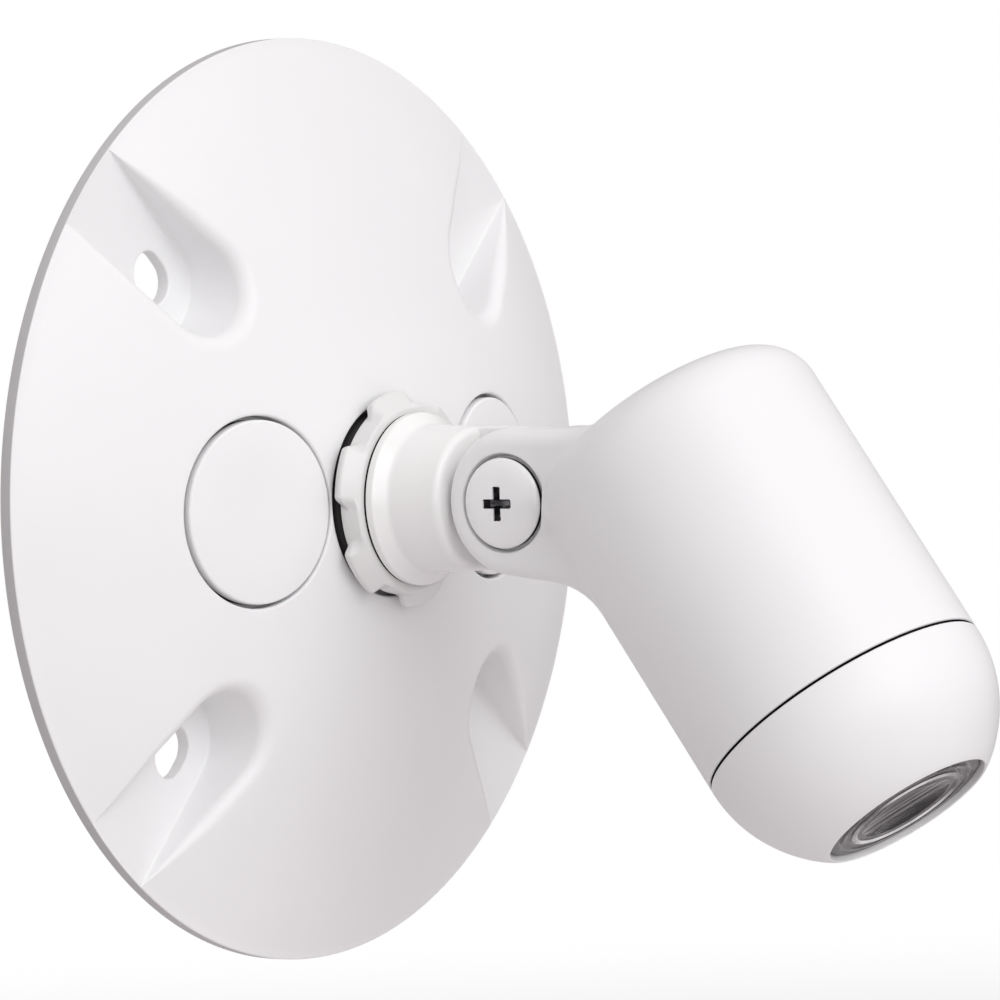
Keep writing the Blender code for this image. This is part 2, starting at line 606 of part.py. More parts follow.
def make_cap(head, look, rubber):
    """Front cap with its spigot, and the ring that seals the seam."""
    spigot_radius = CAVITY_RADIUS - GAP
    spigot_bore = spigot_radius - SPIGOT_WALL
    lip_back = CAP_LENGTH - LIP_DEPTH
    seat = LENS_RADIUS + GAP
    stack = lip_back - LENS_THICKNESS - LENS_GASKET_THICKNESS - REFLECTOR_FLANGE - 5 * GAP
    groove_front = -SPIGOT_LENGTH / 2 + O_RING_WIDTH / 2 + GAP
    groove_back = groove_front - O_RING_WIDTH - 2 * GAP
    groove_floor = spigot_radius - O_RING_DEPTH - GAP
    outline = cap_section()
    outline += [(APERTURE_THROAT, lip_back), (seat, lip_back), (seat, stack - 4 * GAP)]
    outline += [(spigot_bore, stack - 8 * GAP), (spigot_bore, -SPIGOT_LENGTH)]
    outline += [(spigot_radius, -SPIGOT_LENGTH)]
    outline += [(spigot_radius, groove_back), (groove_floor, groove_back), (groove_floor, groove_front)]
    outline += [(spigot_radius, groove_front), (spigot_radius, SEAM_GAP)]
    cap = piece("front_cap", turned(outline, HEAD_STEPS), head, look)
    ring = washer(groove_floor + GAP, spigot_radius, groove_back + GAP, groove_front - GAP)
    piece("cap_o_ring", ring, head, rubber)
    return cap


def make_lens_stack(head, glass, rubber, silver):
    """Lens window with its raised face, its gasket and the bowl of the reflector."""
    lens_front = CAP_LENGTH - LIP_DEPTH - GAP
    lens_back = lens_front - LENS_THICKNESS
    face_radius = APERTURE_THROAT - GAP
    outline = [(0, lens_back), (LENS_RADIUS, lens_back), (LENS_RADIUS, lens_front)]
    outline += [(face_radius, lens_front), (face_radius, CAP_LENGTH - LENS_INSET)]
    outline += [(0, CAP_LENGTH - LENS_INSET)]
    piece("lens_window", turned(outline), head, glass)
    gasket_front = lens_back - GAP
    gasket_back = gasket_front - LENS_GASKET_THICKNESS
    piece("lens_gasket", washer(LENS_GASKET_BORE, LENS_RADIUS, gasket_back, gasket_front), head, rubber)
    mouth = gasket_back - GAP
    foot = LED_BOARD_FACE + GAP
    slope = (REFLECTOR_MOUTH ** 2 - REFLECTOR_THROAT ** 2) / (mouth - foot)
    heights = [foot + (mouth - foot) * (n / 4) ** 1.5 for n in range(5)]
    bowl = [(sqrt(REFLECTOR_THROAT ** 2 + slope * (h - foot)), h) for h in heights]
    flange_back = mouth - REFLECTOR_FLANGE
    shell = [(r + REFLECTOR_WALL, h - REFLECTOR_WALL / 3) for r, h in bowl[1:-1]]
    outline = bowl + [(LENS_RADIUS, mouth), (LENS_RADIUS, flange_back)]
    outline += [(REFLECTOR_MOUTH + REFLECTOR_WALL / 2, flange_back)] + shell[::-1]
    outline += [(REFLECTOR_THROAT + REFLECTOR_WALL, foot)]
    piece("reflector", turned(outline), head, silver)


def make_light_source(head, looks):
    """Emitter, metal-core board, thermal pad and the board's two screws."""
    half = EMITTER_SIDE / 2
    low = LED_BOARD_FACE + GAP
    base = block((-half, -half, low), (half, half, low + EMITTER_HEIGHT))
    emitter = piece("led_emitter", base, head, looks["phosphor"])
    dome_radius = half * 0.8
    dome = [(dome_radius * cos(a), low + EMITTER_HEIGHT - GAP + EMITTER_DOME * sin(a))
            for a in [pi / 2 * n / 4 for n in range(4)]]
    dome = [(0, low + GAP)] + [(dome_radius, low + GAP)] + dome
    dome += [(0, low + EMITTER_HEIGHT - GAP + EMITTER_DOME)]
    combine(emitter, "UNION", piece("emitter_dome", turned(dome, FINE_STEPS), head, None))
    slab = disc(LED_BOARD_RADIUS, LED_BOARD_BACK, LED_BOARD_FACE)
    board = piece("led_board", slab, head, looks["board_white"])
    pad_top = LED_BOARD_BACK - GAP
    pad = piece("thermal_pad", disc(LED_BOARD_RADIUS, pad_top - PAD_THICKNESS, pad_top), head, looks["pad"])
    for number, side in enumerate((-1, 1)):
        at = (side * LED_SCREW_SPACING, 0, 0)
        name = "led_screw_%d" % (number + 1)
        hole = disc(SMALL_SCREW_RADIUS + GAP, -HEAD_BACK, HEAD_BACK, FINE_STEPS)
        passage = piece(name + "_passage", hole, head, None, at)
        combine(board, "DIFFERENCE", passage)
        combine(pad, "DIFFERENCE", passage)
        make_small_screw(name, head, at, LED_BOARD_FACE, 1, looks["steel"])


def make_small_screw(name, head, at, seat, direction, look):
    """A pan-head screw whose head rests on a face, in front of it or behind."""
    under = seat + direction * GAP
    top = under + direction * SMALL_SCREW_HEAD_HEIGHT
    tip = under - direction * SMALL_SCREW_LENGTH
    outline = [(0, tip), (SMALL_SCREW_RADIUS, tip), (SMALL_SCREW_RADIUS, under), (SMALL_SCREW_HEAD, under)]
    outline += [(SMALL_SCREW_HEAD, (under + top) / 2), (SMALL_SCREW_HEAD * 0.7, top), (0, top)]
    piece(name, turned(outline, FINE_STEPS), head, look, at)


def make_heat_sink(head, look):
    """Finned aluminium body clamped between the cap's spigot and the ledge."""
    flange_radius = CAVITY_RADIUS - GAP
    fin_radius = CAVITY_RADIUS - LEDGE_WIDTH - 4 * GAP
    outline = [(0, SINK_BACK), (fin_radius, SINK_BACK), (fin_radius, SINK_FLANGE_BACK)]
    outline += [(flange_radius, SINK_FLANGE_BACK), (flange_radius, SINK_FLANGE_FRONT)]
    outline += [(SINK_FACE_RADIUS, SINK_FLANGE_FRONT), (SINK_FACE_RADIUS, SINK_FACE), (0, SINK_FACE)]
    sink = piece("heat_sink", turned(outline), head, look)
    pitch = 2 * fin_radius / (FIN_COUNT + 1)
    reach = 2 * HEAD_RADIUS
    for number in range(FIN_COUNT):
        middle = pitch * (number - (FIN_COUNT - 1) / 2)
        low = (middle - FIN_GAP / 2, -reach, SINK_BACK - MM)
        high = (middle + FIN_GAP / 2, reach, SINK_FLANGE_BACK)
        combine(sink, "DIFFERENCE", piece("fin_gap_%d" % number, block(low, high), head, None))
    notch_low = (-LEAD_NOTCH_WIDTH / 2, LEAD_NOTCH_FLOOR, -HEAD_BACK)
    notch_high = (LEAD_NOTCH_WIDTH / 2, reach, HEAD_BACK)
    combine(sink, "DIFFERENCE", piece("lead_notch", block(notch_low, notch_high), head, None))
    post_root = SINK_FLANGE_BACK + GAP
    for number, side in enumerate((-1, 1)):
        post_at = (side * POST_SPACING, 0, 0)
        post = disc(POST_RADIUS, SINK_BACK - POST_LENGTH, post_root, FINE_STEPS)
        combine(sink, "UNION", piece("post_%d" % number, post, head, None, post_at))
        depth = SMALL_SCREW_LENGTH + 2 * GAP
        post_hole = disc(SMALL_SCREW_RADIUS + GAP, -HEAD_BACK, DRIVER_BACK + depth, FINE_STEPS)
        led_hole = disc(SMALL_SCREW_RADIUS + GAP, LED_BOARD_FACE - depth, 0, FINE_STEPS)
        combine(sink, "DIFFERENCE",
                piece("post_hole_%d" % number, post_hole, head, None, post_at),
                piece("led_hole_%d" % number, led_hole, head, None, (side * LED_SCREW_SPACING, 0, 0)))
    return sink


def make_driver(head, looks):
    """Driver board with its parts, and the two screws that hold it."""
    board = piece("driver_board", disc(DRIVER_RADIUS, DRIVER_BACK, DRIVER_FRONT), head, looks["board_green"])
    for number, side in enumerate((-1, 1)):
        at = (side * POST_SPACING, 0, 0)
        name = "driver_screw_%d" % (number + 1)
        hole = disc(SMALL_SCREW_RADIUS + GAP, -HEAD_BACK, HEAD_BACK, FINE_STEPS)
        combine(board, "DIFFERENCE", piece(name + "_passage", hole, head, None, at))
        make_small_screw(name, head, at, DRIVER_BACK, -1, looks["steel"])
    top = DRIVER_BACK - GAP
    lip = COIL_HEIGHT / 6
    slope = (COIL_RADIUS - COIL_CORE_RADIUS) / 2
    coil = [(0, COIL_HEIGHT), (COIL_RADIUS, COIL_HEIGHT), (COIL_RADIUS, COIL_HEIGHT - lip)]
    coil += [(COIL_CORE_RADIUS, COIL_HEIGHT - lip - slope), (COIL_CORE_RADIUS, lip + slope)]
    coil += [(COIL_RADIUS, lip), (COIL_RADIUS, 0), (0, 0)]
    piece("inductor", turned(hung(coil, top), FINE_STEPS), head, looks["ferrite"], COIL_AT)
    crimp = GAP
    can = [(0, CAN_HEIGHT), (CAN_RADIUS - 2 * crimp, CAN_HEIGHT), (CAN_RADIUS, CAN_HEIGHT - 2 * crimp)]
    can += [(CAN_RADIUS, 5 * crimp), (CAN_RADIUS - crimp, 4 * crimp), (CAN_RADIUS, 3 * crimp)]
    can += [(CAN_RADIUS, 0), (0, 0)]
    piece("capacitor", turned(hung(can, top), FINE_STEPS), head, looks["can"], CAN_AT)
    piece("driver_chip", hanging_block(CHIP_SIZE, top), head, looks["plastic_black"], CHIP_AT)
    block = hanging_block(TERMINAL_SIZE, top)
    terminals = piece("terminal_block", block, head, looks["terminal"], TERMINAL_AT)
    for number, side in enumerate((-1, 1)):
        hole = hanging_block((WIRE_HOLE, 2 * TERMINAL_SIZE[1], WIRE_HOLE), top - WIRE_HOLE / 2)
        x, y, z = TERMINAL_AT
        at = (x + side * TERMINAL_PITCH / 2, y - TERMINAL_SIZE[1], z)
        combine(terminals, "DIFFERENCE", piece("wire_hole_%d" % number, hole, head, None, at))


def hung(outline, top):
    """A (radius, length) outline hung down from a height."""
    return [(radius, top - length) for radius, length in outline]


def hanging_block(size, top):
    """A box of a given size whose top face is centred at a height."""
    x, y, z = size
    return block((-x / 2, -y / 2, top - z), (x / 2, y / 2, top))


def make_lead(name, side, head, look):
    """A short lead from the driver board, past the heat sink, to the LED board."""
    x = side * LEAD_SPACING
    outer = LEAD_NOTCH_FLOOR + 2 * LEAD_RADIUS
    start = DRIVER_FRONT + GAP
    board = LED_BOARD_FACE + LEAD_RADIUS + GAP
    centre = (outer - LEAD_BEND, board - LEAD_BEND)
    landing = (LED_BOARD_RADIUS - LEAD_LANDING, board)
    route = [(outer, start)] + arc(LEAD_BEND, 0, pi / 2, 3, centre) + [landing]
    curve = bpy.data.curves.new(name, "CURVE")
    curve.dimensions = "3D"
    curve.bevel_depth = LEAD_RADIUS
    curve.bevel_resolution = 2
    curve.use_fill_caps = True
    line = curve.splines.new("POLY")
    line.points.add(len(route) - 1)
    for point, (y, z) in zip(line.points, route):
        point.co = (x, y, z, 1)
    curve.materials.append(look)
    return place(bpy.data.objects.new(name, curve), head, (0, 0, 0), (0, 0, 0))


# ---------------------------------------------------------------- assembly
def make_finishes():
    """The lamp's materials."""
    return {
        "powder_white": finish("powder_white", (0.86, 0.86, 0.85), 0.45),
        "nylon_white": finish("nylon_white", (0.90, 0.89, 0.87), 0.28),
        "rubber": finish("rubber", (0.02, 0.02, 0.02), 0.8),
        "foam": finish("foam", (0.05, 0.05, 0.05), 0.95),
        "steel": finish("steel", (0.62, 0.62, 0.60), 0.3, 1.0),
        "painted_screw": finish("painted_screw", (0.90, 0.90, 0.89), 0.2),
        "natural_nylon": finish("natural_nylon", (0.80, 0.79, 0.72), 0.4),
        "glass": finish("glass", (0.92, 0.95, 0.96), 0.05),
        "silver": finish("silver", (0.85, 0.85, 0.86), 0.1, 1.0),
        "phosphor": finish("phosphor", (0.90, 0.78, 0.30), 0.3),
        "board_white": finish("board_white", (0.82, 0.82, 0.80), 0.4),
        "board_green": finish("board_green", (0.03, 0.22, 0.10), 0.4),
        "pad": finish("pad", (0.45, 0.55, 0.62), 0.8),
        "aluminium": finish("aluminium", (0.75, 0.76, 0.77), 0.35, 1.0),
        "ferrite": finish("ferrite", (0.08, 0.08, 0.09), 0.6),
        "can": finish("can", (0.10, 0.12, 0.30), 0.3),
        "plastic_black": finish("plastic_black", (0.02, 0.02, 0.02), 0.5),
        "terminal": finish("terminal", (0.05, 0.30, 0.12), 0.5),
        "lead_red": finish("lead_red", (0.60, 0.02, 0.02), 0.4),
        "lead_black": finish("lead_black", (0.02, 0.02, 0.02), 0.4),
    }


def outlet_frame(name, canopy, side):
    """A frame on the dome's surface, with local Z along the surface's normal."""
    tilt = side * OUTLET_TILT
    reach = side * OUTLET_OFFSET
    return axis_frame(name, canopy, (reach, 0, dome_height(reach)), (0, tilt, 0))


def build():
    """Make every piece of the lamp."""
    wipe_scene()
    looks = make_finishes()
    canopy = axis_frame("canopy_frame", rotation=(pi / 2, 0, 0))
    stem = axis_frame("stem_frame", canopy)
    tilt = axis_frame("tilt_frame", stem, (0, 0, PIVOT_OUT))
    knuckle = axis_frame("knuckle_frame", tilt, rotation=(0, -pi / 2, 0))
    turned_head = axis_frame("head_tilt_frame", tilt, rotation=(HEAD_TILT, 0, 0))
    head = axis_frame("head_frame", turned_head, (0, HEAD_OFFSET, HEAD_REACH))
    left = outlet_frame("outlet_left_frame", canopy, -1)
    right = outlet_frame("outlet_right_frame", canopy, 1)
    middle = outlet_frame("outlet_middle_frame", canopy, 0)
    middle_radius = RECESS_RADIUS + GAP
    outlets = [("left", left, RECESS_RADIUS), ("right", right, RECESS_RADIUS)]
    outlets += [("middle", middle, middle_radius)]
    make_canopy(canopy, outlets, looks["powder_white"])
    make_wall_gasket(canopy, looks["foam"])
    make_plug("left", left, looks["powder_white"], looks["rubber"])
    make_plug("right", right, looks["powder_white"], looks["rubber"])
    make_outlet_seal(middle, middle_radius, looks["rubber"])
    make_stem(stem, knuckle, looks["nylon_white"])
    make_nipple_hardware(stem, looks["nylon_white"], looks["steel"], looks["plastic_black"])
    make_pivot_hardware(knuckle, looks["painted_screw"], looks["steel"], looks["natural_nylon"])
    make_housing(head, knuckle, looks["powder_white"])
    make_cap(head, looks["powder_white"], looks["rubber"])
    make_lens_stack(head, looks["glass"], looks["rubber"], looks["silver"])
    make_light_source(head, looks)
    make_heat_sink(head, looks["aluminium"])
    make_driver(head, looks)
    make_lead("lead_positive", -1, head, looks["lead_red"])
    make_lead("lead_negative", 1, head, looks["lead_black"])


build()
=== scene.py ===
import bpy
import bmesh
import numpy as np
from math import asin, cos, pi, radians, sin, sqrt
from mathutils import Matrix, Vector


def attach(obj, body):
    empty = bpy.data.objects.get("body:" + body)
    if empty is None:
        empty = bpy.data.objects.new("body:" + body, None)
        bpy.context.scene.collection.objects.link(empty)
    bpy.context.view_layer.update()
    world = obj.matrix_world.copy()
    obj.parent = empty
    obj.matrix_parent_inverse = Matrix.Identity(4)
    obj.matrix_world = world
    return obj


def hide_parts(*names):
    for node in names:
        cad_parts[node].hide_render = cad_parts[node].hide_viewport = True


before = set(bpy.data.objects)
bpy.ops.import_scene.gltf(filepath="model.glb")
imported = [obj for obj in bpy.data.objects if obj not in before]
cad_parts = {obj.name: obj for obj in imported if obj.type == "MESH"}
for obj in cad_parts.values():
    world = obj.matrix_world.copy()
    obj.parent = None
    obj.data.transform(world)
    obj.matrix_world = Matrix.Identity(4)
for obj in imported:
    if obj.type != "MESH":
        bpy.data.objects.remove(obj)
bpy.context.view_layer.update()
mm = 0.001
turn = 2 * pi
print("frame loaded")

# Where things are, in mm: "out" is the distance from the wall
place = {
    "dome top": 19.1,
    "dome radius": 138.46,
    "rim front": 3.68,
    "plate back": 1.8,
    "plate radius": 63.5,
    "outlet offset": 26.6,
    "pivot out": 43.7,
    "head tilt": 54.6,        # degrees below the horizontal
    "head offset": 22.5,      # pivot to head axis
    "head reach": 49.8,       # pivot to seam along the axis
}

# Camera, stage and lights
studio = {
    "camera at": (-0.7707, -0.5973, 0.0526),
    "camera right": (0.58593, -0.80933, -0.04077),
    "camera up": (0.06870, -0.00052, 0.99763),
    "camera back": (-0.80743, -0.58735, 0.05530),
    "lens": 254.0,
    "floor drop": 0.16,        # floor below the object's middle
    "floor radius": 9.0,
    "floor colour": (0.75, 0.72, 0.73),
    "paper": (0.35, 0.85),     # radii between which the paper fades into the glowing surround
    "sky from": (-0.10, -0.80, 0.60),
    "sky colour": (1.0, 0.965, 0.975),
    "sky dim": 0.12,
    "sky bright": 0.95,
}
lamps = {
    # name: (place, width, height, power, colour), all aimed at the head
    "key softbox": ((-0.50, -1.55, 0.85), 1.4, 1.4, 12.6, (0.98, 1.0, 1.0)),
    "front fill": ((-1.2, -1.1, -0.1), 0.9, 0.9, 3.2, (1.0, 1.0, 1.0)),
}


def makeCamera():
    camera = bpy.data.objects.new("camera", bpy.data.cameras.new("camera"))
    axes = Matrix((studio["camera right"], studio["camera up"], studio["camera back"])).transposed()
    camera.matrix_world = Matrix.Translation(studio["camera at"]) @ axes.to_4x4()
    camera.data.lens = studio["lens"]
    camera.data.sensor_width = 36.0
    camera.data.clip_start = 0.05
    camera.data.clip_end = 60.0
    bpy.context.scene.collection.objects.link(camera)
    bpy.context.scene.camera = camera


def makeLamp(name, at, width, height, power, colour):
    light = bpy.data.lights.new(name, "AREA")
    light.shape = "RECTANGLE"
    light.size = width
    light.size_y = height
    light.energy = power
    light.color = colour
    lamp = bpy.data.objects.new(name, light)
    aim = Vector((0.0, -0.04, 0.0)) - Vector(at)
    lamp.matrix_world = Matrix.Translation(at) @ aim.to_track_quat("-Z", "Y").to_matrix().to_4x4()
    bpy.context.scene.collection.objects.link(lamp)


def makeSky():
    # A white surround to look at; as a light it is brightest in one direction and falls off
    # to the other side: dim + (bright - dim) * smoothstep((1 + cos) / 2).
    sky = bpy.data.worlds.new("studio sky")
    sky.use_nodes = True
    tree = sky.node_tree
    where = tree.nodes.new("ShaderNodeTexCoord")
    toward = tree.nodes.new("ShaderNodeVectorMath")
    toward.operation = "DOT_PRODUCT"
    toward.inputs[1].default_value = Vector(studio["sky from"]).normalized()
    tree.links.new(where.outputs["Generated"], toward.inputs[0])
    glow = tree.nodes.new("ShaderNodeMapRange")
    glow.interpolation_type = "SMOOTHSTEP"
    for label, value in (("From Min", -1.0), ("From Max", 1.0), ("To Min", studio["sky dim"]),
                         ("To Max", studio["sky bright"])):
        glow.inputs[label].default_value = value
    tree.links.new(toward.outputs["Value"], glow.inputs["Value"])
    seen = tree.nodes.new("ShaderNodeLightPath")
    choose = tree.nodes.new("ShaderNodeMix")
    choose.inputs["B"].default_value = 1.0
    tree.links.new(seen.outputs["Is Camera Ray"], choose.inputs["Factor"])
    tree.links.new(glow.outputs["Result"], choose.inputs["A"])
    tree.links.new(choose.outputs["Result"], tree.nodes["Background"].inputs["Strength"])
    tint = tree.nodes.new("ShaderNodeMix")
    tint.data_type = "RGBA"
    tint.inputs["A"].default_value = (*studio["sky colour"], 1.0)
    tint.inputs["B"].default_value = (1.0, 1.0, 1.0, 1.0)
    tree.links.new(seen.outputs["Is Camera Ray"], tint.inputs["Factor"])
    tree.links.new(tint.outputs["Result"], tree.nodes["Background"].inputs["Color"])
    bpy.context.scene.world = sky


makeCamera()
makeSky()
for lampName, lampValues in lamps.items():
    makeLamp(lampName, *lampValues)
bpy.context.scene.view_settings.view_transform = "Standard"
print("camera and lights placed")


# Frames: from a piece's own axes to the world, all in mm
def fromCanopy(p):
    # x across, y up, z out of the wall.
    return np.stack([p[..., 0], -p[..., 2], p[..., 1]], axis=-1)


def fromKnuckle(p):
    # x out of the wall from the pivot, y up, z towards the near side.
    return np.stack([-p[..., 2], -place["pivot out"] - p[..., 0], p[..., 1]], axis=-1)


def fromHead(p):
    # x across, y away from the wall side, z along the lamp's axis from the seam.
    tilt = radians(place["head tilt"])
    y = p[..., 1] + place["head offset"]
    z = p[..., 2] + place["head reach"]
    up = y * cos(tilt) - z * sin(tilt)
    out = y * sin(tilt) + z * cos(tilt) + place["pivot out"]
    return np.stack([p[..., 0], -out, up], axis=-1)


def canopyOf(p):
    # The canopy's own axes of a world point in mm.
    return np.stack([p[..., 0], p[..., 2], -p[..., 1]], axis=-1)


def knuckleOf(p):
    return np.stack([-place["pivot out"] - p[..., 1], p[..., 2], -p[..., 0]], axis=-1)


def headOf(p):
    tilt = radians(place["head tilt"])
    out = -p[..., 1] - place["pivot out"]
    y = p[..., 2] * cos(tilt) + out * sin(tilt) - place["head offset"]
    z = out * cos(tilt) - p[..., 2] * sin(tilt) - place["head reach"]
    return np.stack([p[..., 0], y, z], axis=-1)


def radial(p):
    # Distance from a piece's own z axis.
    return np.hypot(p[..., 0], p[..., 1])


def knuckleOfHead(p):
    # The same point seen in the knuckle's axes.
    tilt = radians(place["head tilt"])
    y = p[..., 1] + place["head offset"]
    z = p[..., 2] + place["head reach"]
    return np.stack([y * sin(tilt) + z * cos(tilt), y * cos(tilt) - z * sin(tilt), -p[..., 0]], axis=-1)


def outletFrame(side):
    # A frame whose z is the dome's normal at an outlet; side is -1, 0 or 1.
    lean = side * asin(place["outlet offset"] / place["dome radius"])
    centre = place["dome top"] - place["dome radius"]

    def toWorld(p):
        height = p[..., 2] + place["dome radius"]
        x = p[..., 0] * cos(lean) + height * sin(lean)
        z = -p[..., 0] * sin(lean) + height * cos(lean) + centre
        return fromCanopy(np.stack([x, p[..., 1], z], axis=-1))
    return toWorld


# Mesh helpers
def polish(mesh, sharpAngle=35.0, merge=0.0005):
    # Merges doubles, points the faces outwards and shades smooth up to an angle.
    shape = bmesh.new()
    shape.from_mesh(mesh)
    bmesh.ops.remove_doubles(shape, verts=shape.verts, dist=merge * mm)
    bmesh.ops.recalc_face_normals(shape, faces=shape.faces)
    if shape.calc_volume(signed=True) < 0:
        bmesh.ops.reverse_faces(shape, faces=shape.faces)
    shape.to_mesh(mesh)
    shape.free()
    mesh.shade_smooth()
    mesh.set_sharp_from_angle(angle=radians(sharpAngle))


def skin(name, grid, toWorld, closeRows=False, sharpAngle=35.0, merge=0.0005):
    # A mesh over a (rows, columns, 3) grid of points in mm. Columns always close into
    # rings; rows close too when asked. A ring drawn together to one point becomes a pole.
    rows, columns = grid.shape[:2]
    points = toWorld(grid.reshape(-1, 3)) * mm
    row = np.arange(rows if closeRows else rows - 1)[:, None]
    column = np.arange(columns)[None, :]
    nextRow = (row + 1) % rows
    nextColumn = (column + 1) % columns
    corners = [row * columns + column, row * columns + nextColumn,
               nextRow * columns + nextColumn, nextRow * columns + column]
    faces = np.stack(corners, axis=-1).reshape(-1, 4)
    mesh = bpy.data.meshes.new(name)
    mesh.from_pydata(points.tolist(), [], faces.tolist())
    polish(mesh, sharpAngle, merge)
    made = bpy.data.objects.new(name, mesh)
    bpy.context.scene.collection.objects.link(made)
    return made


def softened(outline, segments=5):
    # An (x, y, radius) outline with each corner turned into an arc of that radius. The arc
    # touches both legs at radius * tan(turn / 2) from the corner, with a fixed point count.
    given = np.array(outline, float)
    points = []
    for index in range(len(given)):
        here = given[index, :2]
        radius = given[index, 2]
        before = given[index - 1, :2] if index else given[index + 1, :2]
        after = given[(index + 1) % len(given), :2] if index < len(given) - 1 else given[index - 1, :2]
        if radius <= 0 or index in (0, len(given) - 1):
            points.append(np.repeat(here[None], segments + 1 if radius > 0 else 1, axis=0))
            continue
        inward = (before - here) / np.linalg.norm(before - here)
        onward = (after - here) / np.linalg.norm(after - here)
        half = np.arccos(np.clip(inward @ onward, -1, 1)) / 2
        if pi - 2 * half < 0.01:
            points.append(np.repeat(here[None], segments + 1, axis=0))
            continue
        room = min(np.linalg.norm(before - here), np.linalg.norm(after - here))
        reach = min(radius / np.tan(half), 0.49 * room)
        middle = here + (inward + onward) / np.linalg.norm(inward + onward) * reach / np.cos(half)
        start = here + inward * reach - middle
        end = here + onward * reach - middle
        sweep = pi - 2 * half
        share = np.linspace(0, 1, segments + 1)[:, None]
        swung = np.sin((1 - share) * sweep) * start + np.sin(share * sweep) * end
        points.append(middle + swung / sin(sweep))
    return np.concatenate(points)


def ringed(profile, steps):
    # A (radius, height) profile turned about z, as a (rows, columns, 3) grid.
    angle = np.linspace(0, turn, steps, endpoint=False)
    radius = profile[:, 0][:, None]
    height = np.repeat(profile[:, 1][:, None], steps, axis=1)
    return np.stack([radius * np.cos(angle), radius * np.sin(angle), height], axis=-1)


def lathe(name, outline, toWorld, steps=96, segments=5, closed=False, sharpAngle=35.0):
    # A turned piece: an (r, z, rounding) outline carried round the axis.
    return skin(name, ringed(softened(outline, segments), steps), toWorld, closed, sharpAngle)


def stack(name, loops, toWorld):
    # A closed solid from loops of points piled up, with both ends drawn to their middles.
    loops = np.array(loops)
    ends = [np.repeat(loops[end].mean(axis=0, keepdims=True), loops.shape[1], axis=0) for end in (0, -1)]
    return skin(name, np.concatenate([ends[0][None], loops, ends[1][None]]), toWorld, merge=0.00003)


def carve(target, operation, *tools, sharpAngle=35.0, merge=0.0005):
    # One boolean step with all the tools together, which are then cleared away.
    box = bpy.data.collections.new("tools")
    for tool in tools:
        box.objects.link(tool)
    step = target.modifiers.new("carve", "BOOLEAN")
    step.operation = operation
    step.operand_type = "COLLECTION"
    step.collection = box
    step.solver = "EXACT"
    bpy.context.view_layer.update()
    shaped = bpy.data.meshes.new_from_object(target.evaluated_get(bpy.context.evaluated_depsgraph_get()))
    target.modifiers.clear()
    target.data = shaped
    target.data.name = target.name
    for tool in tools:
        bpy.data.objects.remove(tool)
    bpy.data.collections.remove(box)
    polish(target.data, sharpAngle, merge)
    return target


def shade(made, finish, toPiece, picked):
    # Paints a second material, used here for painted shade and painted highlights, onto the faces whose
    # middle, in the piece's own mm, is picked.
    made.data.materials.append(finish)
    middle = np.zeros(len(made.data.polygons) * 3)
    made.data.polygons.foreach_get("center", middle)
    chosen = picked(toPiece(middle.reshape(-1, 3) / mm)).astype(np.int32) * (len(made.data.materials) - 1)
    before = np.zeros(len(chosen), dtype=np.int32)
    made.data.polygons.foreach_get("material_index", before)
    made.data.polygons.foreach_set("material_index", np.maximum(before, chosen))


def settle(made, body, slot, material, *nodes):
    # Gives a finished piece its material and body, and hides the CAD nodes it stands for. The slot argument
    # is not used.
    made.data.materials.clear()
    made.data.materials.append(material)
    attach(made, body)
    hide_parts(*nodes)
    return made


# Shared shader groups
def newGroup(name, inputs, outputs):
    group = bpy.data.node_groups.new(name, "ShaderNodeTree")
    for label, value in inputs:
        socket = group.interface.new_socket(label, in_out="INPUT", socket_type="NodeSocketFloat")
        socket.default_value = value
    for label in outputs:
        group.interface.new_socket(label, in_out="OUTPUT", socket_type="NodeSocketFloat")
    return group, group.nodes.new("NodeGroupInput"), group.nodes.new("NodeGroupOutput")


def mathNode(tree, operation, first, second):
    # A math node fed by sockets or numbers.
    node = tree.nodes.new("ShaderNodeMath")
    node.operation = operation
    for index, value in enumerate((first, second)):
        if isinstance(value, (int, float)):
            node.inputs[index].default_value = value
        else:
            tree.links.new(value, node.inputs[index])
    return node.outputs[0]


def noiseNode(tree, coordinates, scale, detail=2.0, roughness=0.5):
    node = tree.nodes.new("ShaderNodeTexNoise")
    tree.links.new(coordinates, node.inputs["Vector"])
    if isinstance(scale, (int, float)):
        node.inputs["Scale"].default_value = scale
    else:
        tree.links.new(scale, node.inputs["Scale"])
    node.inputs["Detail"].default_value = detail
    node.inputs["Roughness"].default_value = roughness
    return node.outputs[0]


def makeGrainGroup():
    # Grain: fine bumps plus a broad mottle. Height = broad peel * peel share + grit * (1 -
    # peel share); mottle = slow noise, spread to 0..1.
    group, into, out = newGroup("surfaceGrain", [("Peel size", 900.0), ("Grit size", 4000.0),
                                                 ("Peel share", 0.7), ("Mottle size", 25.0)],
                                ["Height", "Mottle"])
    where = group.nodes.new("ShaderNodeTexCoord").outputs["Object"]
    peel = noiseNode(group, where, into.outputs["Peel size"])
    grit = noiseNode(group, where, into.outputs["Grit size"], 4.0, 0.6)
    mottle = noiseNode(group, where, into.outputs["Mottle size"], 3.0)
    weighted = mathNode(group, "MULTIPLY", peel, into.outputs["Peel share"])
    rest = mathNode(group, "SUBTRACT", 1.0, into.outputs["Peel share"])
    height = mathNode(group, "ADD", weighted, mathNode(group, "MULTIPLY", grit, rest))
    spread = mathNode(group, "MULTIPLY", mathNode(group, "SUBTRACT", mottle, 0.3), 2.5)
    clamp = group.nodes.new("ShaderNodeClamp")
    group.links.new(spread, clamp.inputs[0])
    group.links.new(height, out.inputs["Height"])
    group.links.new(clamp.outputs[0], out.inputs["Mottle"])
    return group


grainGroup = makeGrainGroup()


